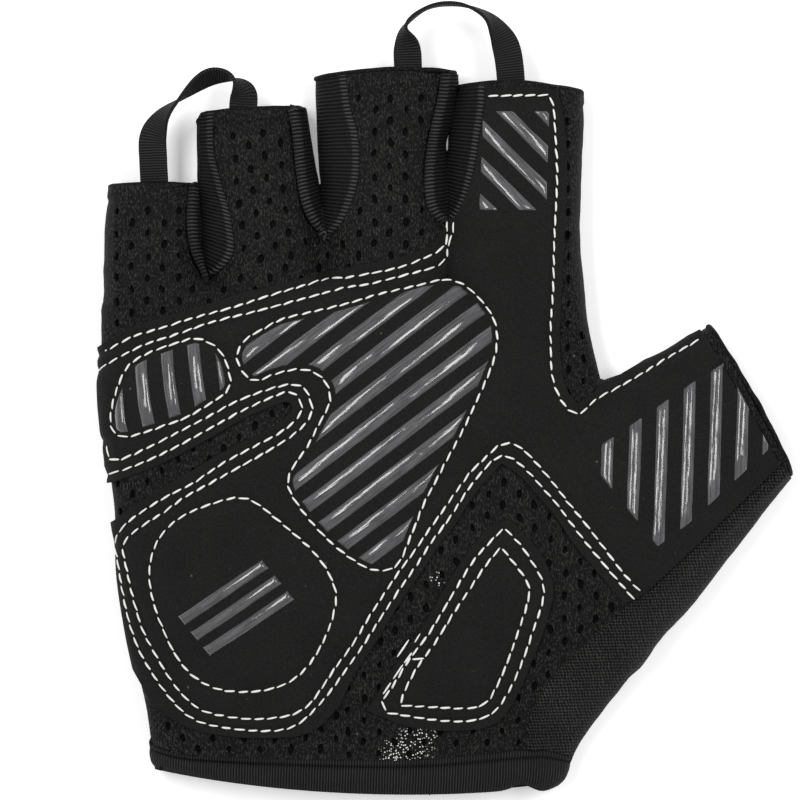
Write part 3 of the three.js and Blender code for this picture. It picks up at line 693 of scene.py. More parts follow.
def cut_out(edges, step, holes=(), rows=(), eyelets=(), falls=True):
    """Cut cloth inside every edge and outside every hole, finer along rows and falling sides."""
    loops = [*edges, *holes, *eyelets]
    fixed = np.vstack(loops)
    lines, start = [], 0
    for loop in loops:
        lines += [(start + i, start + (i + 1) % len(loop)) for i in range(len(loop))]
        start += len(loop)
    low, high = fixed.min(0), fixed.max(0)
    across = np.arange(low[0], high[0], step)
    along = np.arange(low[1], high[1], step * 0.87)
    grid = np.array([(x + (j % 2) * step / 2, y) for j, y in enumerate(along) for x in across])
    fine = [beside(row, (0, -0.0004, 0.0004, -0.0009, 0.0009, -0.0015, 0.0015), 0.0009) for row in rows]
    if falls:
        gaps = (0.00006, 0.0002, 0.0005, 0.001, 0.0018)
        fine += [beside(side_run(run), [s * g for g in gaps for s in (1, -1)], step) for run in SIDES]
    spots = np.empty((0, 2))
    for group in fine:
        spots = np.vstack([spots, thinned(spots, group, 0.00022) if len(spots) else group])
    spots = np.vstack([spots, thinned(spots, grid, step * 0.6)]) if len(spots) else grid

    def kept(places):
        good = np.ones(len(places), bool)
        for edge in edges:
            good &= inside(places, edge)
        for hole in holes:
            good &= ~inside(places, hole)
        return good

    spots = spots[kept(spots)]
    for eyelet in eyelets:
        middle = eyelet.mean(0)
        size = np.linalg.norm(eyelet - middle, axis=1).max() * 1.15
        spots = spots[np.linalg.norm(spots - middle, axis=1) > size]
    spots = thinned(fixed, spots, 0.00004)
    every = [Vector(p) for p in np.vstack([fixed, spots])]
    verts, _, faces, origin, _, _ = geometry.delaunay_2d_cdt(every, lines, [], 0, 1e-7)
    plain = sum(len(loop) for loop in (*edges, *holes))
    owner = {}
    for k, eyelet in enumerate(eyelets):
        for i in range(len(eyelet)):
            owner[plain + i] = k
        plain += len(eyelet)
    ring = [next((owner[i] for i in old if i in owner), -1 - n) for n, old in enumerate(origin)]
    flat = np.array([(v.x, v.y) for v in verts])
    faces = np.array(faces)
    good = kept(flat[faces].mean(1))
    good &= np.array([not (ring[a] == ring[b] == ring[c]) for a, b, c in faces])
    faces = faces[good]
    a, b, c = flat[faces[:, 0]], flat[faces[:, 1]], flat[faces[:, 2]]
    turn = (b[:, 0] - a[:, 0]) * (c[:, 1] - a[:, 1]) - (b[:, 1] - a[:, 1]) * (c[:, 0] - a[:, 0])
    faces = faces[np.abs(turn) > 1e-14]
    turn = turn[np.abs(turn) > 1e-14]
    faces[turn < 0] = faces[turn < 0][:, ::-1]
    used = np.unique(faces)
    order = np.full(len(flat), -1)
    order[used] = np.arange(len(used))
    return flat[used], order[faces]


def mesh_of(name, points, faces, uv=None):
    """A mesh from points and faces, with the places on its weave."""
    mesh = bpy.data.meshes.new(name)
    mesh.from_pydata([tuple(p) for p in points], [], [tuple(int(i) for i in f) for f in faces])
    if uv is not None:
        layer = mesh.uv_layers.new(name="weave")
        for loop in mesh.loops:
            layer.data[loop.index].uv = uv[loop.vertex_index]
    mesh.update()
    return mesh


def net(rows, count):
    """Faces between rows of points."""
    return [(a, a + count, a + count + 1, a + 1) for i in range(rows - 1)
        for a in range(i * count, (i + 1) * count - 1)]


def area_of(mesh):
    return sum(p.area for p in mesh.polygons)


def smooth_shaded(piece, angle=50):
    select_only(piece)
    bpy.ops.object.shade_smooth_by_angle(angle=math.radians(angle))


def wear(piece, finish, slot, *nodes):
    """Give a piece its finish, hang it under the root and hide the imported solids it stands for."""
    piece.data.materials.clear()
    piece.data.materials.append(finish)
    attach(piece, "root")
    if nodes:
        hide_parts(*nodes)
    return piece


def rested(piece):
    """Press what would sink into the surface back above it."""
    for v in piece.data.vertices:
        if v.co.z < RESTING:
            v.co.z = RESTING * math.exp(v.co.z / RESTING - 1)


def lay_cloth(name, cut, relief, thick):
    """Lay a flat cut on the body and give it its thickness; returns the piece and its area."""
    spots, faces = cut
    places, normals = made["skin"].lay(spots)
    mesh = mesh_of(name, places + normals * np.asarray(relief).reshape(-1, 1), faces)
    piece = new_piece(name, mesh)
    area = area_of(mesh)
    apply_modifier(piece, "SOLIDIFY", thickness=thick, offset=-1.0)
    rested(piece)
    smooth_shaded(piece)
    return piece, area


def tube_along(paths, radius, sides=8):
    """A round seam swept along closed or open paths of points."""
    points, faces = [], []
    for path, closed in paths:
        path = np.asarray(path)
        way = unit(np.roll(path, -1, 0) - np.roll(path, 1, 0) if closed else np.gradient(path, axis=0))
        up = np.array([0, 0, 1.0])
        start, count = len(points), len(path)
        for p, w in zip(path, way):
            side = np.cross(w, up)
            side /= np.linalg.norm(side) + 1e-12
            over = np.cross(side, w)
            for k in range(sides):
                angle = 2 * math.pi * k / sides
                points.append(p + radius * (math.cos(angle) * side + math.sin(angle) * over))
        for i in range(count if closed else count - 1):
            j = (i + 1) % count
            for k in range(sides):
                m = (k + 1) % sides
                faces.append((start + i * sides + k, start + i * sides + m, start + j * sides + m,
                    start + j * sides + k))
        if not closed:
            faces.append(tuple(start + k for k in reversed(range(sides))))
            faces.append(tuple(start + (count - 1) * sides + k for k in range(sides)))
    return points, faces


def faced_out(mesh):
    """Turn every face outwards."""
    bm = bmesh.new()
    bm.from_mesh(mesh)
    bmesh.ops.recalc_face_normals(bm, faces=bm.faces)
    bm.to_mesh(mesh)
    bm.free()


def open_edges(mesh):
    """The open edges of a mesh as closed runs of points."""
    bm = bmesh.new()
    bm.from_mesh(mesh)
    follow = {}
    for edge in bm.edges:
        if edge.is_boundary:
            a, b = edge.verts
            follow.setdefault(a.index, []).append(b.index)
            follow.setdefault(b.index, []).append(a.index)
    bm.verts.ensure_lookup_table()
    runs, seen = [], set()
    for first in follow:
        if first in seen:
            continue
        run, last, here = [first], None, first
        seen.add(first)
        while True:
            after = [n for n in follow[here] if n != last and (n not in seen or n == first)]
            if not after or after[0] == first:
                break
            last, here = here, after[0]
            seen.add(here)
            run.append(here)
        if len(run) > 20:
            runs.append(np.array([bm.verts[i].co for i in run]))
    bm.free()
    return runs


def loop_evenly(run, count):
    """A closed run, smoothed, with even steps."""
    for _ in range(6):
        run = (np.roll(run, 1, 0) + 2 * run + np.roll(run, -1, 0)) / 4
    closed = np.vstack([run, run[:1]])
    return evenly(closed, count=count + 1)[:-1]


# Pieces -----

def build_body(look):
    """The hollow body of stretch knit."""
    body = make_body()
    body.name = body.data.name = "back_knit"
    made["skin"] = Skin(body.data)
    made["sides"] = falling_sides(made["skin"])
    made["openings"] = open_edges(body.data)
    normals = [v.normal.copy() for v in body.data.vertices]
    for v, n in zip(body.data.vertices, normals):
        v.co -= n * LINING_DROP * max(0.0, min(1.0, n.z * 3))
        if n.z < 0.2:
            v.co += n * 0.00025 * soft_noise.noise(v.co * 140) * (v.co.z > 0.0008)
    apply_modifier(body, "SOLIDIFY", thickness=BODY_THICK, offset=-1.0)
    rested(body)
    smooth_shaded(body, 60)
    wear(body, made["knit"], "knit", "back_panel")


def finger_hems(look):
    """Rolled hems round the finger and thumb openings."""
    wrist = OPENINGS["wrist"]
    paths = []
    for run in made["openings"]:
        if beyond(run, wrist)[0].mean() > -0.004:
            made["wrist_edge"] = run
            continue
        path = loop_evenly(run, 110)
        wave = np.array([soft_noise.noise(Vector(p) * 260) for p in path])
        paths.append((path + np.array([0, 0, -0.0003]) + wave[:, None] * 0.00022, True))
    points, faces = tube_along(paths, HEM_RADIUS, 10)
    points = [(x, y, max(z, 0.0)) for x, y, z in points]
    hem = new_piece("finger_hems", mesh_of("finger_hems", points, faces))
    faced_out(hem.data)
    smooth_shaded(hem, 80)
    wear(hem, made["hem"], "mesh")
    return hem


def eyelets(look):
    """Eyelets of the mesh where the suede leaves it free."""
    suede, slot, window = outline(SUEDE), outline(SLOT), outline(WINDOW)
    thenar, wipe, field = outline(THENAR), outline(WIPE), outline(CLOTH, 0.0008)
    ends = np.vstack([evenly(plan(end), 0.0005) for end in FINGER_ENDS])
    found = []
    for x0, y0, x1, y1, cx, cy, turn in EYELET_FIELDS:
        cos, sin = math.cos(math.radians(turn)), math.sin(math.radians(turn))
        for i in range(-40, 41):
            for j in range(-40, 41):
                a, b = i * EYELET_COLUMN, (j + (i % 2) / 2) * EYELET_STEP
                x, y = cx + a * cos + b * sin, cy - a * sin + b * cos
                apart = all((x - p) ** 2 + (y - q) ** 2 > EYELET_APART**2 for p, q in found)
                if x0 <= x < x1 and y0 <= y < y1 and apart:
                    found.append((x, y))
    spots = plan(found)
    free = inside(spots, field) & ~inside(spots, thenar) & ~inside(spots, wipe)
    near_gap = (Near(slot).far(spots) < 0.0006) | (Near(window).far(spots) < 0.0006)
    free &= ~inside(spots, suede) | inside(spots, slot) | inside(spots, window) | near_gap
    free &= Near(field).far(spots) > 0.0012
    free &= Near(ends).far(spots) > 0.0036
    chance = random.Random(7)
    rings = []
    for (x, y), good in zip(spots, free):
        if not good:
            continue
        wide, long = look.eyelet_width / 2, look.eyelet_width * 0.78
        lean, size = chance.uniform(-0.30, 0.30), chance.uniform(0.84, 1.14)
        x, y = x + chance.gauss(0, 0.00012), y + chance.gauss(0, 0.00012)
        ring = []
        for k in range(10):
            angle = 2 * math.pi * k / 10
            rough = chance.uniform(0.88, 1.1)
            a, b = math.cos(angle) * wide * size * rough, math.sin(angle) * long * size * rough
            ring.append((x + a * math.cos(lean) - b * math.sin(lean),
                y + a * math.sin(lean) + b * math.cos(lean)))
        rings.append(np.array(ring))
    return rings


VALLEYS = [[(190, 262), (203, 284), (226, 276)], [(312, 232), (330, 244), (346, 232)],
    [(430, 216), (442, 228), (452, 226)], [(204, 290), (328, 256)], [(103, 300), (200, 296)]]


def build_mesh(look):
    """The knitted mesh with its eyelets, laid on the body, and its hems."""
    rings = eyelets(look)
    field = outline(CLOTH, 0.0010)
    ends = [evenly(plan(end), 0.0005) for end in FINGER_ENDS]
    hems = [end - np.array([0, HEM_DEPTH]) for end in ends]
    cut = cut_out([field], 0.0012, eyelets=rings, rows=hems)
    spots = cut[0]
    relief = CLOTH_TOP + 0.00010 * bump_noise(spots, 0.0028, 3.0) + 0.00014 * bump_noise(spots, 0.011, 5.0)
    pucker = Near(np.vstack([evenly(plan(curve_through(run)), 0.0005) for run in VALLEYS])).far(spots)
    creases = bump_noise(spots * np.array([1.0, 1.5]), 0.0042, 8.0)
    relief += 0.00042 * creases * np.exp(-((pucker / 0.006) ** 2))
    far = Near(np.vstack(ends)).far(spots)
    relief += (0.00030 * np.clip((HEM_DEPTH - far) / 0.0004, 0, 1)
        - 0.00022 * np.exp(-(((far - 0.0027) / 0.0004) ** 2)))
    if rings:
        rim = Near(np.vstack(rings)).far(spots)
        relief += 0.00010 * np.exp(-((rim / 0.0004) ** 2))
    cover = inside(spots, outline(SUEDE)) & ~inside(spots, outline(SLOT)) & ~inside(spots, outline(WINDOW))
    cover |= inside(spots, outline(THENAR)) | inside(spots, outline(WIPE))
    relief = np.where(cover, np.minimum(relief, CLOTH_TOP), relief)
    cloth, area = lay_cloth("mesh_cloth", cut, relief, CLOTH_THICK)
    wear(cloth, made["mesh"], "mesh", "palm_mesh")
    hem = finger_hems(look)


def dents(spots, rows, far_puff=0.003):
    """Grooves pressed in by rows of stitches, and the low swell between them."""
    near = Near(np.vstack([evenly(row, 0.0003) for row in rows])).far(spots)
    groove = -DENT_DEPTH * np.exp(-((near / DENT_WIDTH) ** 2))
    share = np.clip(near / far_puff, 0, 1)
    return groove + PUFF * share * share * (3 - 2 * share)


def panel_rows():
    """Every row of stitches in the main panel, as runs of the plan that end at corners."""
    rows = [plan(curve_through(row)) for row in (*ROWS, *ROW_INDEX)]
    for cell in (CELL_OUTER, CELL_CENTRE, CELL_HEEL):
        ring = ring_of(cell, 0.0006)
        rows.append(np.vstack([ring, ring[:1]]))
    return rows


def thenar_rows():
    return [plan(curve_through(run)) for run in (*ROW_THENAR_OUT, *ROW_THENAR_IN)]


def build_suede(look):
    """The suede panel and the patch at the thumb's root."""
    rows = panel_rows()
    cut = cut_out([outline(SUEDE), outline(GLOVE_FIELD, 0.001)], 0.0016,
        holes=[outline(SLOT), outline(WINDOW)], rows=rows)
    relief = SUEDE_TOP + dents(cut[0], rows) + 0.00010 * bump_noise(cut[0], 0.009, 9.0)
    panel, area = lay_cloth("suede_panel", cut, relief, SUEDE_THICK)
    wear(panel, made["suede"], "suede", "palm_overlay")
    rows = thenar_rows()
    cut = cut_out([outline(THENAR)], 0.0015, rows=rows, falls=False)
    relief = SUEDE_TOP + dents(cut[0], rows) + 0.00008 * bump_noise(cut[0], 0.009, 2.0)
    patch, area = lay_cloth("suede_thenar", cut, relief, SUEDE_THICK)
    wear(patch, made["suede"], "suede", "thenar_patch")


def pad_rise(spots, ring, height):
    """How high a padded cell stands over the panel, from its ring of stitches."""
    far = Near(evenly(np.vstack([ring, ring[:1]]), 0.0003)).far(spots)
    rise = height * (1 - np.exp(-far / PAD_EDGE)) * (0.86 + 0.14 * np.clip(far / PAD_CROWN, 0, 1))
    return np.where(inside(spots, ring), rise, 0.0)


CELLS = {"outer": CELL_OUTER, "centre": CELL_CENTRE, "heel": CELL_HEEL}


def build_pads(look):
    """Padded cells under the suede, crowned inside their rings of stitches."""
    for name, cell in CELLS.items():
        ring = ring_of(cell, 0.0007)
        spots, faces = cut_out([ring], 0.0011, falls=False,
            rows=[ring_of(cell, 0.0007) * 0.94 + ring.mean(0) * 0.06])
        places, normals = made["skin"].lay(spots)
        rise = pad_rise(spots, ring, look.pad_height)
        rise += 0.00007 * bump_noise(spots, 0.008, 4.0) * (rise > 0.0002)
        top = places + normals * (PAD_SEAT + rise)[:, None]
        low = places + normals * (SUEDE_TOP - SUEDE_THICK)
        count = len(spots)
        points = np.vstack([top, low])
        under = faces[:, ::-1] + count
        used = {edge: True for a, b, c in faces for edge in ((a, b), (b, c), (c, a))}
        rim = [(b, a, a + count, b + count) for a, b in used if (b, a) not in used]
        pad = new_piece("gel_" + name, mesh_of("gel_" + name, points, [*faces, *under, *rim]))
        faced_out(pad.data)
        smooth_shaded(pad, 40)
        wear(pad, made["suede"], "suede", "gel_pad_" + name)


def crossings(edge, start, way):
    """Where a line crosses an outline, as distances along the line."""
    side = np.array([-way[1], way[0]])
    off = (edge - start) @ side
    far = (edge - start) @ way
    found = []
    for i in range(len(edge)):
        j = (i + 1) % len(edge)
        if (off[i] > 0) != (off[j] > 0):
            share = off[i] / (off[i] - off[j])
            found.append(far[i] + share * (far[j] - far[i]))
    return sorted(found)


def bar_field(name):
    """The outline that ends a group of bars."""
    if name in ("outer", "centre"):
        ring = ring_of(CELLS[name], 0.0005)
        way = unit(np.roll(ring, -1, 0) - np.roll(ring, 1, 0))
        side = np.stack([-way[:, 1], way[:, 0]], 1)
        if not inside(ring[:1] + side[:1] * 0.0008, ring)[0]:
            side = -side
        return ring + side * 0.0010
    corners = {"index": FIELD_INDEX, "thumb": FIELD_THUMB, "heel": FIELD_HEEL}[name]
    return plan(corners)


def bar_mesh(name, number, look):
    """One silicone bar: a low bead whose ends are cut along the field's edge."""
    (cx, cy), (sx, sy), run, width, _ = BARS[name]
    edge = bar_field(name)
    way = np.array([run[0], -run[1]])
    way /= np.linalg.norm(way)
    side = np.array([-way[1], way[0]])
    middle = plan([(cx + sx * number, cy + sy * number)])[0]
    half = width * GRID / 2
    shares = np.sin(np.linspace(-1, 1, 19) * math.pi / 2)
    across = shares * half
    spans = []
    for off in across:
        cuts = crossings(edge, middle + side * off, way)
        pairs = list(zip(cuts[::2], cuts[1::2]))
        spans.append(max(pairs, key=lambda p: p[1] - p[0]) if pairs else None)
    good = [i for i, span in enumerate(spans) if span and span[1] - span[0] > 0.0004]
    if len(good) < 4:
        return None
    across, shares = across[good[0]:good[-1] + 1], shares[good[0]:good[-1] + 1]
    spans = np.array([spans[i] for i in range(good[0], good[-1] + 1)])
    longest = (spans[:, 1] - spans[:, 0]).max()
    count = max(9, int(longest / 0.0009))
    t = np.linspace(0, 1, count)
    t = np.concatenate([[0, 0.25 / count, 0.6 / count], t[1:-1], [1 - 0.6 / count, 1 - 0.25 / count, 1]])
    spots, height, uv = [], [], []
    low, high = shares[0], shares[-1]
    for off, share, (a, b) in zip(across, shares, spans):
        even = 2 * (share - low) / (high - low) - 1
        crown = (1 - abs(even) ** 2.2) ** 0.75
        for s in t:
            spots.append(middle + side * off + way * (a + (b - a) * s))
            ends = min(s, 1 - s) * (b - a)
            end = min(1.0, ends / BAR_END)
            rounded = (1 - (1 - end) ** 2.2) ** 0.6
            height.append(look.bar_height * crown * rounded)
            uv.append((share * half * 1000, (a + (b - a) * s) * 1000))
    spots, height = np.array(spots), np.array(height)
    places, normals = made["skin"].lay(spots)
    rise = pad_rise(spots, ring_of(CELLS[name], 0.0007), look.pad_height) if name in CELLS else 0.0
    base = (PAD_SEAT if name in CELLS else SUEDE_TOP) + rise
    wave = 0.00006 * bump_noise(spots, 0.0034, number) + 0.00002 * bump_noise(spots, 0.0012, number + 9.0)
    top = places + normals * (base + 0.00004 + height + wave * (height > 0.0002))[:, None]
    under = places + normals * np.reshape(base - BAR_ROOT, (-1, 1))
    n, m = len(across), len(t)
    total = n * m
    points = np.vstack([top, under])
    faces = []
    at = lambda i, j: i * m + j
    for i in range(n - 1):
        for j in range(m - 1):
            quad = (at(i, j), at(i, j + 1), at(i + 1, j + 1), at(i + 1, j))
            faces.append(quad)
            faces.append(tuple(total + q for q in reversed(quad)))
    rim = [at(i, 0) for i in range(n)] + [at(n - 1, j) for j in range(1, m)]
    rim += [at(i, m - 1) for i in range(n - 2, -1, -1)] + [at(0, j) for j in range(m - 2, 0, -1)]
    for a, b in zip(rim, rim[1:] + rim[:1]):
        faces.append((a, b, total + b, total + a))
    mesh = mesh_of(f"{name}_bar_{number + 1}", points, faces, uv=[*uv, *uv])
    faced_out(mesh)
    return mesh


def build_bars(look):
    """All silicone bars."""
    for name, size in BARS.items():
        for number in range(size[4]):
            mesh = bar_mesh(name, number, look)
            bar = new_piece(f"{name}_bar_{number + 1}", mesh)
            smooth_shaded(bar, 60)
            wear(bar, made["silicone"], "silicone", f"{name}_grip_{number + 1}")


def strip_between(seam, fold, count_across=12):
    """A ribbed tape from its seam in the palm cloth to the fold at the finger's side."""
    first, last = plan(curve_through(seam)), plan(curve_through(fold))
    count = int(lengths_along(first)[-1] / 0.0005) + 1
    first, last = evenly(first, count=count), evenly(last, count=count)
    way = (last - first) / (np.linalg.norm(last - first, axis=1)[:, None] + 1e-9)
    last = np.array([made["skin"].reach(p, w, -0.003, 0.0002) for p, w in zip(last, way)])
    shares = 1 - (1 - np.linspace(0, 1, count_across)) ** 1.7
    rows = [first + (last - first) * s for s in shares]
    spots = np.vstack(rows)
    places, normals = made["skin"].lay(spots)
    bead = np.exp(-(((shares - 0.10) / 0.10) ** 2)) * 0.00035
    lip = np.where(shares == 0, -0.0003, 0)
    relief = np.repeat(TAPE_TOP * (1 - 0.95 * shares ** 1.5) + bead + lip, count)
    places = places + normals * relief[:, None]
    along = lengths_along((first + last) / 2) * 1000
    wide = np.linalg.norm(last - first, axis=1) * 1000
    uv = [(s * w, a) for s in shares for w, a in zip(wide, along)]
    return places, net(len(shares), count), uv


def build_tapes(look):
    """The ribbed tapes between the fingers, each of two strips."""
    tapes = {
        "little_ring": [(SEAM_LITTLE, FOLD_LITTLE), (SEAM_RING_L, FOLD_RING_L)],
        "ring_middle": [(SEAM_RING_R, FOLD_RING_R), (SEAM_MIDDLE_L, FOLD_MIDDLE_L)],
        "middle_index": [(SEAM_MIDDLE_R, FOLD_MIDDLE_R), (SEAM_INDEX, FOLD_INDEX)],
    }
    for place, strips in tapes.items():
        name = "tape_" + place
        points, faces, uv, length = [], [], [], 0.0
        for seam, fold in strips:
            places, quads, weave = strip_between(seam, fold)
            start = len(points)
            points += [*places]
            faces += [tuple(start + i for i in quad) for quad in quads]
            uv += weave
            length += lengths_along(plan(curve_through(seam)))[-1]
        mesh = mesh_of(name, points, faces, uv)
        tape = new_piece(name, mesh)
        up = sum(p.normal.z * p.area for p in mesh.polygons)
        if up < 0:
            mesh.flip_normals()
        apply_modifier(tape, "SOLIDIFY", thickness=TAPE_THICK, offset=-1.0)
        rested(tape)
        smooth_shaded(tape, 60)
        wear(tape, made["tape"], "tape", "gusset_" + place)


def build_wipe(look):
    """The coarse knit panel along the thumb."""
    cut = cut_out([outline(WIPE), outline(GLOVE_FIELD, 0.001), outline(CLOTH, 0.001)], 0.0011)
    spots = cut[0]
    relief = WIPE_TOP + 0.00010 * bump_noise(spots, 0.0022, 1.0) + 0.00025 * bump_noise(spots, 0.012, 6.0)
    seam = Near(evenly(plan(curve_through(WIPE[0])), 0.0004)).far(spots)
    relief += 0.0007 * np.exp(-(((seam - 0.0016) / 0.0009) ** 2)) - 0.0007 * np.exp(-((seam / 0.0004) ** 2))
    panel, area = lay_cloth("wipe_knit", cut, relief, WIPE_THICK)
    wear(panel, made["wipe"], "knit", "thumb_wipe_panel")


def ripple(x):
    """How far the cuff's free edge wanders out of line, in metres, at a place across the wrist."""
    g = x / GRID + MIDDLE
    return GRID * (4.0 * math.exp(-(((g - 545) / 12) ** 2)) - 5.0 * math.exp(-(((g - 521) / 12) ** 2)))


def build_cuff(look):
    """The ribbed elastic band round the wrist, folded over the edge."""
    skin = made["skin"]
    edge = loop_evenly(made["wrist_edge"], 260)
    cut = OPENINGS["wrist"]
    out = np.array([*cut["out"], 0.0])
    seam = plan(curve_through(CUFF_SEAM))
    order = np.argsort(seam[:, 0])
    rows = []
    bases = []
    for p in edge:
        _, normal = skin.nearest(p - out * 0.001)
        front = np.interp(p[0], seam[order, 0], seam[order, 1]) - p[1]
        share = max(0.0, min(1.0, 0.5 + normal.z * 1.2))
        bases.append((p, max(CUFF_SHORTEST, front * share + CUFF_BACK * (1 - share))))
    shares = [0.0, 0.06, 0.16, 0.3, 0.45, 0.58, 0.66, 0.71, 0.75, 0.79, 0.84, 0.89, 0.94, 0.98, 1.0]
    for t in shares:
        row = []
        for p, length in bases:
            guess = Vector(p) - Vector(out) * (length * t + 0.0002)
            place, normal = skin.nearest(guess)
            proud = CUFF_TOP * (1.35 - 0.9 * abs(2 * min(t, CUFF_FOLD) / CUFF_FOLD - 1) ** 3)
            proud += 0.00035 * math.exp(-(((t - 0.88) / 0.06) ** 2))
            proud -= 0.00030 * math.exp(-(((t - CUFF_FOLD) / 0.03) ** 2))
            proud -= 0.0004 * (t == 1.0)
            spot = np.array(place + normal * proud)
            if t < 0.35:
                spot += out * ripple(p[0]) * (1 - t / 0.35)
            row.append(spot)
        rows.append(row)
    inner = []
    for depth, drop in ((-0.0005, 0.0002), (0.0004, 0.0009), (0.003, 0.0011)):
        row = []
        for p, _ in bases:
            _, normal = skin.nearest(Vector(p) - Vector(out) * 0.0004)
            row.append(np.array(Vector(p) - Vector(out) * depth - normal * drop) + out * ripple(p[0]))
        inner.append(row)
    rows = [*inner[::-1], *rows]
    points = np.array([spot for row in rows for spot in row])
    points[:, 2] = np.maximum(points[:, 2], 0.0)
    count = len(edge)
    round_way = lengths_along(np.vstack([edge, edge[:1]]))[:-1] * 1000
    across = np.cumsum([0] + [np.linalg.norm(np.array(b) - np.array(a), axis=1).mean()
        for a, b in zip(rows, rows[1:])]) * 1000
    uv = [(w, r) for w in across for r in round_way]
    faces = []
    for i in range(len(rows) - 1):
        for j in range(count):
            k = (j + 1) % count
            faces.append((i * count + j, i * count + k, (i + 1) * count + k, (i + 1) * count + j))
    mesh = mesh_of("cuff_band", points, faces, uv)
    layer = mesh.uv_layers["weave"]
    for polygon in mesh.polygons:
        corners = [layer.data[i] for i in polygon.loop_indices]
        if max(c.uv[1] for c in corners) - min(c.uv[1] for c in corners) > 50:
            for c in corners:
                if c.uv[1] < 50:
                    c.uv[1] += round_way[-1] + round_way[1]
    outward = sum(((Vector(p.center) - Vector((0, p.center.y, 0.007))).dot(p.normal)) * p.area
        for p in mesh.polygons)
    if outward < 0:
        mesh.flip_normals()
    band = new_piece("cuff_band", mesh)
    area = area_of(mesh)
    length = round_way[-1] / 1000
    apply_modifier(band, "SOLIDIFY", thickness=BAND_THICK, offset=-1.0)
    rested(band)
    smooth_shaded(band, 60)
    wear(band, made["cuff"], "tape", "cuff_binding")
    max(LEAST_FLAT, area / length)


def build_loops(look):
    """Woven ribbon loops that help to pull the glove off."""
    for name, table in (("left", LOOP_LEFT), ("right", LOOP_RIGHT)):
        rows = np.asarray(table, float)
        path = np.column_stack([plan(rows[:, :2]), rows[:, 2] / 1000, rows[:, 3]])
        fine = curve_through(path, fine=10)
        far = np.concatenate([[0], np.cumsum(np.linalg.norm(np.diff(fine[:, :3], axis=0), axis=1))])
        count = int(far[-1] / 0.0005)
        at = np.linspace(0, far[-1], count)
        fine = np.stack([np.interp(at, far, fine[:, k]) for k in range(4)], 1)
        way = unit(np.gradient(fine[:, :3], axis=0))
        level = unit(np.cross(way, [0, 0, 1.0]))
        tilt = np.radians(fine[:, 3])[:, None]
        wide = level * np.cos(tilt) + np.array([0, 0, 1.0]) * np.sin(tilt)
        shares = np.linspace(-1, 1, 9)
        points = np.vstack([fine[:, :3] + wide * look.ribbon_width / 2 * s for s in shares])
        uv = [(s * look.ribbon_width * 500, a * 1000) for s in shares for a in at]
        mesh = mesh_of("pull_" + name, points, net(len(shares), count), uv)
        loop = new_piece("ribbon_" + name, mesh)
        apply_modifier(loop, "SOLIDIFY", thickness=BAND_THICK, offset=0.0)
        faced_out(loop.data)
        smooth_shaded(loop, 60)
        wear(loop, made["ribbon"], "tape", "pull_loop_" + name)


def build_stitches(look):
    """Rows of pale stitches that hold the suede and ring its padded cells."""
    bpy.ops.object.select_all(action="DESELECT")
    bpy.ops.mesh.primitive_uv_sphere_add(segments=8, ring_count=6, radius=0.5)
    pattern = bpy.context.object
    bpy.ops.object.mode_set(mode="EDIT")
    bpy.ops.mesh.select_all(action="SELECT")
    bpy.ops.transform.rotate(value=math.pi / 2, orient_axis="Y", center_override=(0, 0, 0))
    bpy.ops.object.mode_set(mode="OBJECT")
    shape = np.round([v.co for v in pattern.data.vertices], 6)
    sides = [tuple(p.vertices) for p in pattern.data.polygons]
    bpy.data.objects.remove(pattern)
    shape[:, 0] = np.sign(shape[:, 0]) * np.abs(shape[:, 0] * 2) ** 0.62 / 2
    chance = random.Random(21)
    skin = made["skin"]
    points, faces = [], []
    field = outline(GLOVE_FIELD, 0.001)
    stitches = []
    for row in (*panel_rows(), *thenar_rows()):
        path = evenly(row, 0.0001)
        far = lengths_along(path)
        count = max(1, round(far[-1] / look.stitch_pitch))
        for k in range(count):
            middle = (k + 0.5 + chance.uniform(-0.04, 0.04)) * far[-1] / count
            half = look.stitch_length * chance.uniform(0.44, 0.56)
            ends = [np.array([np.interp(middle + d, far, path[:, c]) for c in (0, 1)])
                for d in (-half, half)]
            aside = (ends[1] - ends[0])[::-1] * np.array([-1, 1]) * chance.uniform(0.02, 0.07)
            stitches.append([ends[0] - aside, ends[1] + aside])
    stitches += [list(plan(ends)) for ends in LOOSE_ENDS]
    for ends in stitches:
        if not inside((ends[0] + ends[1])[None] / 2, field)[0]:
            continue
        (pa, na), (pb, nb) = (skin.spot(*end) for end in ends)
        normal = (na + nb).normalized()
        lift = SUEDE_TOP - DENT_DEPTH + STITCH_LIFT
        a, b = np.array(pa + na * lift), np.array(pb + nb * lift)
        way = (b - a) / np.linalg.norm(b - a)
        side = np.cross(np.array(normal), way)
        side = side * math.cos(0.12) + way * chance.uniform(-0.12, 0.12)
        up = np.cross(way, side)
        size = look.stitch_width * chance.uniform(0.85, 1.15)
        bow = np.array([1 - (2 * s) ** 2 for s in shape[:, 0]])[:, None]
        first = len(points)
        points += [*((a + b) / 2 + shape[:, :1] * way * np.linalg.norm(b - a) + shape[:, 1:2] * side * size
            + shape[:, 2:] * up * size * 0.8 + up * bow * 0.00012)]
        faces += [tuple(first + i for i in face) for face in sides]
    stitches = new_piece("stitches", mesh_of("stitches", points, faces))
    faced_out(stitches.data)
    smooth_shaded(stitches, 180)
    wear(stitches, made["thread"], "tape")


# Finishes -----

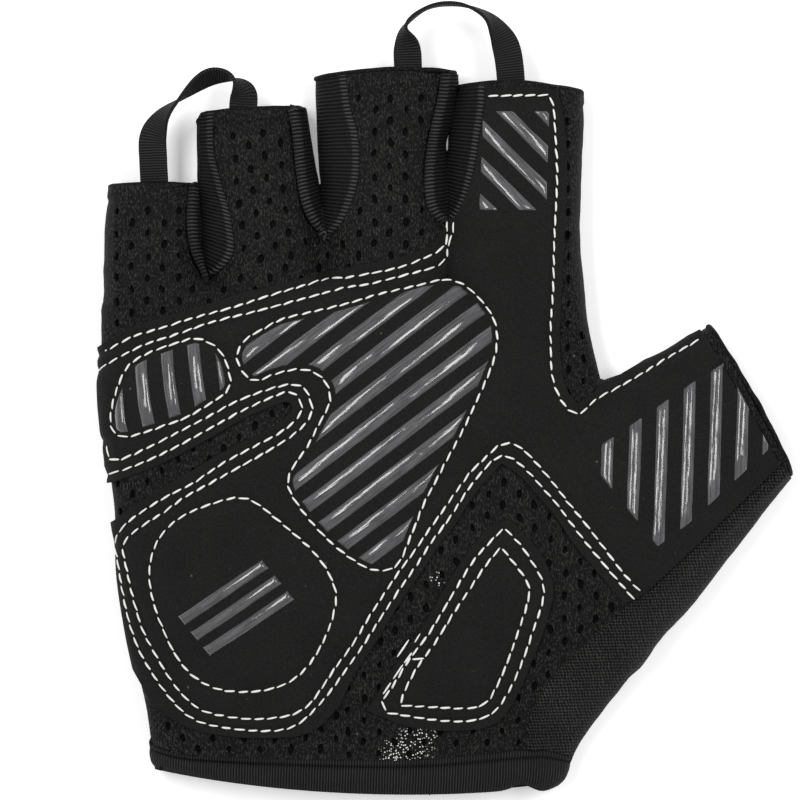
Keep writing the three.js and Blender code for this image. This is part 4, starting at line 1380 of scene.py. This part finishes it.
class Value:
    """A socket of a finish that can be written into sums."""

    def __init__(self, finish, socket):
        self.finish, self.socket = finish, socket

    def sum_of(self, operation, *terms):
        return self.finish.node("ShaderNodeMath", {"operation": operation}, dict(enumerate(terms)))

    def __add__(self, other):
        return self.sum_of("ADD", self, other)

    def __sub__(self, other):
        return self.sum_of("SUBTRACT", self, other)

    def __rsub__(self, other):
        return self.sum_of("SUBTRACT", other, self)

    def __mul__(self, other):
        return self.sum_of("MULTIPLY", self, other)

    def __truediv__(self, other):
        return self.sum_of("DIVIDE", self, other)

    def __pow__(self, other):
        return self.sum_of("POWER", self, other)

    __radd__, __rmul__ = __add__, __mul__

    def sine(self):
        return self.sum_of("SINE", self)

    def above(self, level):
        return self.sum_of("GREATER_THAN", self, level)

    def least(self, other):
        return self.sum_of("MINIMUM", self, other)

    def most(self, other):
        return self.sum_of("MAXIMUM", self, other)

    def held(self):
        return self.most(0.0).least(1.0)


class Finish:
    """A material and the nodes that make it."""

    def __init__(self, name, **uniform):
        self.material = bpy.data.materials.new(name)
        self.material.use_nodes = True
        self.tree = self.material.node_tree
        self.tree.nodes.clear()
        self.shader = self.tree.nodes.new("ShaderNodeBsdfPrincipled")
        output = self.tree.nodes.new("ShaderNodeOutputMaterial")
        self.tree.links.new(self.shader.outputs[0], output.inputs["Surface"])
        for socket, value in uniform.items():
            self.shader.inputs[socket.replace("_", " ")].default_value = value

    def put(self, socket, value):
        if isinstance(value, Value):
            self.tree.links.new(value.socket, socket)
        else:
            socket.default_value = value

    def node(self, kind, settings=(), sockets=(), out=0):
        """Add one node: its settings first, then the values or links of its sockets."""
        node = self.tree.nodes.new(kind)
        for name, value in dict(settings).items():
            if name == "stops":
                ramp = node.color_ramp
                while len(ramp.elements) < len(value):
                    ramp.elements.new(0.5)
                for stop, (place, shade) in zip(ramp.elements, value):
                    stop.position, stop.color = place, (shade, shade, shade, 1)
            else:
                setattr(node, name, value)
        for name, value in dict(sockets).items():
            self.put(node.inputs[name], value)
        return Value(self, node.outputs[out])

    def place(self):
        return self.node("ShaderNodeTexCoord", out="Object")

    def weave(self):
        return self.node("ShaderNodeUVMap", {"uv_map": "weave"})

    def parts(self, vector):
        split = self.tree.nodes.new("ShaderNodeSeparateXYZ")
        self.put(split.inputs[0], vector)
        return [Value(self, socket) for socket in split.outputs]

    def moved(self, vector, scale=(1, 1, 1), turn=0.0):
        return self.node("ShaderNodeMapping", {},
            {"Vector": vector, "Scale": scale, "Rotation": (0, 0, turn)})

    def noise(self, vector, scale, detail=2.0, rough=0.5):
        return self.node("ShaderNodeTexNoise", {}, {"Vector": vector, "Scale": scale, "Detail": detail,
            "Roughness": rough})

    def specks(self, vector, scale, size, share):
        """Small round flecks, scattered over a share of the cells."""
        settings = {"feature": "F1"}
        far = self.node("ShaderNodeTexVoronoi", settings, {"Vector": vector, "Scale": scale}, "Distance")
        pick = self.parts(self.node("ShaderNodeTexVoronoi", settings, {"Vector": vector, "Scale": scale},
            "Color"))[0]
        return (1 - far.above(size)) * (1 - pick.above(share))

    def mixed(self, share, first, second):
        node = self.tree.nodes.new("ShaderNodeMix")
        node.data_type = "RGBA"
        for index, value in ((0, share), (6, first), (7, second)):
            self.put(node.inputs[index], value)
        return Value(self, node.outputs[2])

    def colour(self, value):
        self.put(self.shader.inputs["Base Color"], value)

    def rough(self, value):
        self.put(self.shader.inputs["Roughness"], value)

    def bump(self, height, depth, strength=1.0):
        bumped = self.node("ShaderNodeBump", {},
            {"Height": height, "Distance": depth, "Strength": strength})
        self.put(self.shader.inputs["Normal"], bumped)


def shade(colour, factor):
    return (*(min(1.0, c * factor) for c in colour[:3]), 1.0)


def suede_finish(look):
    suede = Finish("brushed suede", Specular_IOR_Level=0.10, Sheen_Weight=0.01, Sheen_Roughness=0.6)
    place = suede.place()
    nap = suede.noise(place, 2700, 3.0, 0.65)
    cloud = suede.noise(place, 110, 4.0, 0.6)
    base = suede.mixed((cloud * 0.5 + nap * 1.5 - 0.5).held(), shade(look.suede_colour, 0.32),
        shade(look.suede_colour, 1.75))
    lint = suede.specks(place, 260, 0.060, 0.22)
    dust = suede.specks(place, 620, 0.085, 0.10)
    suede.colour(suede.mixed((lint * 0.45).most(dust * 0.20), base, shade(look.thread_colour, 0.16)))
    suede.rough(0.80 + cloud * 0.14)
    suede.bump(nap + cloud * 0.8, 0.00010, 0.6)
    return suede.material


def mesh_finish(look, name="knitted mesh", plain=False):
    mesh = Finish(name, Specular_IOR_Level=0.09)
    place = mesh.place()
    x, y, z = mesh.parts(place)
    sway = mesh.noise(place, 520, 3.0, 0.6)
    dash = mesh.noise(mesh.moved(place, (1.0, 0.42, 0.7)), 3500, 2.0, 0.6)
    wale = ((x * (2 * math.pi / 0.00056)) + sway * 9.0).sine() * 0.5 + 0.5
    cloud = mesh.noise(place, 150, 3.0, 0.6)
    loops = ((dash - 0.47) * 5.4).most(0.0) * (wale * 0.6 + 0.5)
    share = (loops * (0.35 + cloud * 1.1)).least(1.0)
    bright = 4.8 if not plain else 3.0
    base = mesh.mixed(share, shade(look.mesh_colour, 0.36), shade(look.mesh_colour, bright))
    lint = mesh.specks(place, 230, 0.05, 0.1)
    base = mesh.mixed(lint * 0.55, base, shade(look.thread_colour, 0.2))
    if not plain:
        # Painted glints: pale dots round each listed spot stand in for light sparkling on the mesh
        glint = 0.0
        for gx, gy, reach in PAINTED_GLINTS:
            (px, py), = plan([(gx, gy)])
            far = ((x - px) ** 2 + (y - py) ** 2) ** 0.5
            glint = (1 - far / (reach * GRID)).most(glint)
        glint_dots = mesh.specks(place, 2100, 0.30, 0.72)
        base = mesh.mixed((glint * 2.2).least(1.0) * glint_dots * 0.9, base, shade(look.thread_colour, 1.1))
    mesh.colour(base)
    mesh.rough(0.62 + dash * 0.2)
    mesh.bump(loops, 0.00020, 0.7)
    return mesh.material


def knit_finish(look):
    knit = Finish("stretch knit", Specular_IOR_Level=0.12)
    place = knit.place()
    x, y, z = knit.parts(place)
    up = knit.parts(knit.node("ShaderNodeNewGeometry", out="Normal"))[2]
    wale = (x * (2 * math.pi / 0.0009)).sine() * 0.5 + 0.5
    course = (y * (2 * math.pi / 0.0007) + wale * 2.0).sine() * 0.5 + 0.5
    grain = knit.noise(place, 1500, 2.0)
    cloud = knit.noise(place, 60, 3.0)
    cloth = knit.mixed(wale * course * 0.6 + grain * 0.5, shade(look.mesh_colour, 0.5),
        shade(look.mesh_colour, 1.7))
    # Painted shade: every face of the body that looks up is coloured near black, standing in for the shade
    # inside the glove that shows through the eyelets
    painted_shade_above = up.above(0.25)
    knit.colour(knit.mixed(painted_shade_above, cloth, shade(look.mesh_colour, 0.10)))
    knit.rough(0.74 + cloud * 0.15)
    knit.bump(wale * course + grain * 0.4, 0.00018, 0.7)
    return knit.material


def wipe_finish(look):
    wipe = Finish("coarse wipe knit", Specular_IOR_Level=0.12)
    place = wipe.place()
    x, y, z = wipe.parts(wipe.moved(place, turn=math.radians(38)))
    sway = wipe.noise(place, 480, 3.0, 0.6)
    a = ((x * (2 * math.pi / 0.00100)) + sway * 7.0).sine()
    b = ((y * (2 * math.pi / 0.00080)) + sway * 7.0).sine()
    loops = (a * b) * 0.5 + 0.5
    grain = wipe.noise(place, 2200, 2.0, 0.65)
    cloud = wipe.noise(place, 130, 2.0)
    share = ((loops * 1.3 + grain * 1.3 - 1.08) * (0.4 + cloud * 1.2)).held()
    base = wipe.mixed(share, shade(look.mesh_colour, 0.18), shade(look.mesh_colour, 5.4))
    lint = wipe.specks(place, 240, 0.05, 0.1)
    wipe.colour(wipe.mixed(lint * 0.6, base, shade(look.thread_colour, 0.2)))
    wipe.rough(0.66 + grain * 0.2)
    wipe.bump(loops + grain * 0.5, 0.00030, 0.9)
    return wipe.material


def ribbed_finish(look, name, pitch, low, high, depth, edge_light=0.0):
    """Cloth with fine ribs that follow the strip it is cut from."""
    ribs = Finish(name, Specular_IOR_Level=0.10)
    across, down, _ = ribs.parts(ribs.weave())
    place = ribs.place()
    sway = ribs.noise(place, 420, 3.0, 0.6)
    wave = (down * (2 * math.pi / pitch) + sway * 2.6).sine() * 0.5 + 0.5
    yarn = ribs.noise(place, 2400, 2.0, 0.6)
    cloud = ribs.noise(place, 150, 2.0)
    share = (wave ** 1.8) * (0.35 + yarn * 0.9) * (0.5 + cloud * 0.8)
    # Painted light and shade: the ribs are painted brightest in a band about 1.5 mm wide along the seam and
    # much dimmer further in, where the tape falls into the shaded valley towards the fold
    if edge_light:
        edge = (1 - ((across - 0.75) / 0.75) ** 2).most(0.0)
        share = share * (0.38 + edge * edge_light)
    ribs.colour(ribs.mixed(share.least(1.0), shade(look.tape_colour, low), shade(look.tape_colour, high)))
    ribs.rough(0.6 + yarn * 0.25)
    ribs.bump(wave + yarn * 0.3, depth, 0.85)
    return ribs.material


def silicone_finish(look):
    silicone = Finish("clear grey silicone", Specular_IOR_Level=0.65)
    place = silicone.place()
    streak = silicone.noise(silicone.moved(silicone.weave(), (1.0, 0.05, 1.0)), 3.0, 2.0, 0.6)
    cloud = silicone.noise(place, 300, 3.0, 0.6)
    fine = silicone.noise(place, 1500, 2.0)
    # Partly painted light: the light and dark streaks along each bar in the base colour stand in for
    # highlight and reflection lines of the lamps in the glossy silicone, over the silicone's own uneven
    # tone; the same streaks also shape the bump
    silicone.colour(silicone.mixed((streak * 1.9 + cloud * 0.6 - 0.75).held(),
        shade(look.silicone_colour, 0.35), shade(look.silicone_colour, 2.0)))
    silicone.rough(0.05 + fine * 0.04)
    silicone.bump(streak + cloud * 0.5, 0.00010, 0.38)
    return silicone.material


def thread_finish(look):
    thread = Finish("off-white sewing thread", Specular_IOR_Level=0.4, Sheen_Weight=0.1)
    place = thread.place()
    ply = thread.noise(place, 3200, 2.0, 0.6)
    cloud = thread.noise(place, 300, 2.0)
    thread.colour(thread.mixed(ply * 0.7 + cloud * 0.3, shade(look.thread_colour, 0.72),
        shade(look.thread_colour, 1.12)))
    thread.rough(0.6 + ply * 0.2)
    thread.bump(ply, 0.00010, 0.6)
    return thread.material


# Add-on -----

def colour_of(name, description, value):
    return bpy.props.FloatVectorProperty(name=name, description=description, subtype="COLOR", size=3,
        min=0.0, max=1.0, default=value)


def length_of(name, description, value):
    return bpy.props.FloatProperty(name=name, description=description, subtype="DISTANCE", unit="LENGTH",
        min=0.0, default=value)


class GloveLook(bpy.types.PropertyGroup):
    """Sizes and colours of the glove."""

    suede_colour: colour_of("Suede", "Colour of the palm panel and its cells", (0.0086, 0.0086, 0.0083))
    mesh_colour: colour_of("Mesh", "Colour of the knitted mesh and the knits", (0.0085, 0.0085, 0.0082))
    tape_colour: colour_of("Tape", "Colour of the tapes, the cuff and the ribbon", (0.0110, 0.0110, 0.0108))
    silicone_colour: colour_of("Silicone", "Colour of the grip bars", (0.060, 0.060, 0.063))
    thread_colour: colour_of("Thread", "Colour of the stitches", (0.80, 0.79, 0.76))
    stitch_length: length_of("Stitch length", "Length of one stitch", 0.00212)
    stitch_pitch: length_of("Stitch pitch", "From the start of one stitch to the next", 0.00262)
    stitch_width: length_of("Stitch width", "Thickness of the sewing thread", 0.00044)
    pad_height: length_of("Pad height", "Rise of the padded cells over the panel", 0.0017)
    bar_height: length_of("Bar height", "Rise of the silicone bars", 0.00055)
    ribbon_width: length_of("Ribbon width", "Width of the pull loops", 0.0056)
    eyelet_width: length_of("Eyelet width", "Width of one eyelet in the mesh", 0.00115)


def mix_finishes(look):
    made["suede"] = suede_finish(look)
    made["mesh"] = mesh_finish(look)
    made["hem"] = mesh_finish(look, "folded mesh hem", plain=True)
    made["knit"] = knit_finish(look)
    made["wipe"] = wipe_finish(look)
    made["tape"] = ribbed_finish(look, "ribbed edge tape", 0.74, 0.34, 4.8, 0.00026, 1.3)
    made["cuff"] = ribbed_finish(look, "ribbed elastic", 0.56, 0.36, 3.1, 0.00018)
    made["ribbon"] = ribbed_finish(look, "woven ribbon", 0.52, 0.5, 3.0, 0.00014)
    made["silicone"] = silicone_finish(look)
    made["thread"] = thread_finish(look)


class GLOVE_OT_finishes(bpy.types.Operator):
    """Mix the finishes of the glove"""
    bl_idname = "glove.finishes"
    bl_label = "Mix finishes"
    bl_options = {"REGISTER", "UNDO"}

    def execute(self, context):
        mix_finishes(context.scene.glove_look)
        return {"FINISHED"}


class GLOVE_OT_body(bpy.types.Operator):
    """Knit the hollow body of hand, fingers and thumb"""
    bl_idname = "glove.body"
    bl_label = "Knit body"
    bl_options = {"REGISTER", "UNDO"}

    def execute(self, context):
        build_body(context.scene.glove_look)
        return {"FINISHED"}


class GLOVE_OT_mesh(bpy.types.Operator):
    """Lay the knitted mesh with its eyelets and hem the fingers"""
    bl_idname = "glove.mesh"
    bl_label = "Lay mesh"
    bl_options = {"REGISTER", "UNDO"}

    def execute(self, context):
        build_mesh(context.scene.glove_look)
        return {"FINISHED"}


class GLOVE_OT_suede(bpy.types.Operator):
    """Lay the suede panel and the patch at the thumb's root"""
    bl_idname = "glove.suede"
    bl_label = "Lay suede"
    bl_options = {"REGISTER", "UNDO"}

    def execute(self, context):
        build_suede(context.scene.glove_look)
        return {"FINISHED"}


class GLOVE_OT_pads(bpy.types.Operator):
    """Raise the padded cells"""
    bl_idname = "glove.pads"
    bl_label = "Raise pads"
    bl_options = {"REGISTER", "UNDO"}

    def execute(self, context):
        build_pads(context.scene.glove_look)
        return {"FINISHED"}


class GLOVE_OT_bars(bpy.types.Operator):
    """Print the silicone grip bars"""
    bl_idname = "glove.bars"
    bl_label = "Print bars"
    bl_options = {"REGISTER", "UNDO"}

    def execute(self, context):
        build_bars(context.scene.glove_look)
        return {"FINISHED"}


class GLOVE_OT_tapes(bpy.types.Operator):
    """Sew the ribbed tapes between the fingers"""
    bl_idname = "glove.tapes"
    bl_label = "Sew tapes"
    bl_options = {"REGISTER", "UNDO"}

    def execute(self, context):
        build_tapes(context.scene.glove_look)
        return {"FINISHED"}


class GLOVE_OT_wipe(bpy.types.Operator):
    """Lay the coarse knit along the thumb"""
    bl_idname = "glove.wipe"
    bl_label = "Lay wipe panel"
    bl_options = {"REGISTER", "UNDO"}

    def execute(self, context):
        build_wipe(context.scene.glove_look)
        return {"FINISHED"}


class GLOVE_OT_cuff(bpy.types.Operator):
    """Fold the elastic band round the wrist"""
    bl_idname = "glove.cuff"
    bl_label = "Fold cuff"
    bl_options = {"REGISTER", "UNDO"}

    def execute(self, context):
        build_cuff(context.scene.glove_look)
        return {"FINISHED"}


class GLOVE_OT_loops(bpy.types.Operator):
    """Sew in the two ribbon pull loops"""
    bl_idname = "glove.loops"
    bl_label = "Sew pull loops"
    bl_options = {"REGISTER", "UNDO"}

    def execute(self, context):
        build_loops(context.scene.glove_look)
        return {"FINISHED"}


class GLOVE_OT_stitches(bpy.types.Operator):
    """Sew the pale rows of stitches"""
    bl_idname = "glove.stitches"
    bl_label = "Sew stitches"
    bl_options = {"REGISTER", "UNDO"}

    def execute(self, context):
        build_stitches(context.scene.glove_look)
        return {"FINISHED"}


def light_at(name, place, size, power):
    data = bpy.data.lights.new(name, "AREA")
    data.shape, data.size, data.size_y, data.energy = "RECTANGLE", size[0], size[1], power
    lamp = bpy.data.objects.new(name, data)
    bpy.context.scene.collection.objects.link(lamp)
    lamp.location = place
    lamp.rotation_euler = (0, math.atan2(place[0], place[2]), 0)


def set_stage(look):
    """Pale floor, soft light and a camera straight above."""
    bpy.ops.object.select_all(action="DESELECT")
    bpy.ops.mesh.primitive_plane_add(size=FLOOR, location=(0, 0, 0))
    floor = bpy.context.object
    floor.name = "floor"
    bpy.ops.object.transform_apply(location=True, rotation=False, scale=False)
    paper = Finish("white paper", Roughness=0.9, Specular_IOR_Level=0.1, Emission_Strength=0.30)
    paper.shader.inputs["Emission Color"].default_value = (1, 1, 1, 1)
    paper.colour(paper.mixed(paper.noise(paper.place(), 40), (0.93, 0.93, 0.93, 1), (0.95, 0.95, 0.95, 1)))
    floor.data.materials.append(paper.material)
    world = bpy.data.worlds.new("soft studio")
    bpy.context.scene.world = world
    world.use_nodes = True
    world.node_tree.nodes["Background"].inputs["Color"].default_value = (1, 1, 1, 1)
    world.node_tree.nodes["Background"].inputs["Strength"].default_value = 0.46
    light_at("strip left", (-0.38, 0.26, 1.0), (0.24, 0.75), 6.4)
    light_at("strip right", (0.42, 0.22, 1.0), (0.22, 0.65), 5.2)
    data = bpy.data.cameras.new("camera")
    camera = bpy.data.objects.new("camera", data)
    bpy.context.scene.collection.objects.link(camera)
    camera.location = (0, 0, CAMERA_HEIGHT)
    data.sensor_width, data.lens = SENSOR, SENSOR * (CAMERA_HEIGHT - SEEN_HEIGHT) / SEEN_WIDTH
    data.clip_start, data.clip_end = 0.1, 20
    bpy.context.scene.camera = camera
    bpy.context.scene.view_settings.view_transform = "Standard"


class GLOVE_OT_stage(bpy.types.Operator):
    """Set the pale floor, the lights and the camera"""
    bl_idname = "glove.stage"
    bl_label = "Set stage"
    bl_options = {"REGISTER", "UNDO"}

    def execute(self, context):
        set_stage(context.scene.glove_look)
        return {"FINISHED"}


OPERATORS = (GLOVE_OT_finishes, GLOVE_OT_body, GLOVE_OT_mesh, GLOVE_OT_suede, GLOVE_OT_pads, GLOVE_OT_bars,
    GLOVE_OT_tapes, GLOVE_OT_wipe, GLOVE_OT_cuff, GLOVE_OT_loops, GLOVE_OT_stitches, GLOVE_OT_stage)


class GLOVE_PT_panel(bpy.types.Panel):
    """The making steps of the glove, in order"""
    bl_idname = "GLOVE_PT_panel"
    bl_label = "Cycling glove"
    bl_space_type = "VIEW_3D"
    bl_region_type = "UI"
    bl_category = "Glove"

    def draw(self, context):
        look = context.scene.glove_look
        for name in GloveLook.__annotations__:
            self.layout.prop(look, name)
        for operator in OPERATORS:
            self.layout.operator(operator.bl_idname)


CLASSES = (GloveLook, *OPERATORS, GLOVE_PT_panel)


def register():
    for cls in CLASSES:
        bpy.utils.register_class(cls)
    bpy.types.Scene.glove_look = bpy.props.PointerProperty(type=GloveLook)


def unregister():
    del bpy.types.Scene.glove_look
    for cls in reversed(CLASSES):
        bpy.utils.unregister_class(cls)


def main():
    register()
    for operator in OPERATORS:
        group, name = operator.bl_idname.split(".")
        getattr(getattr(bpy.ops, group), name)()


if __name__ == "__main__":
    main()
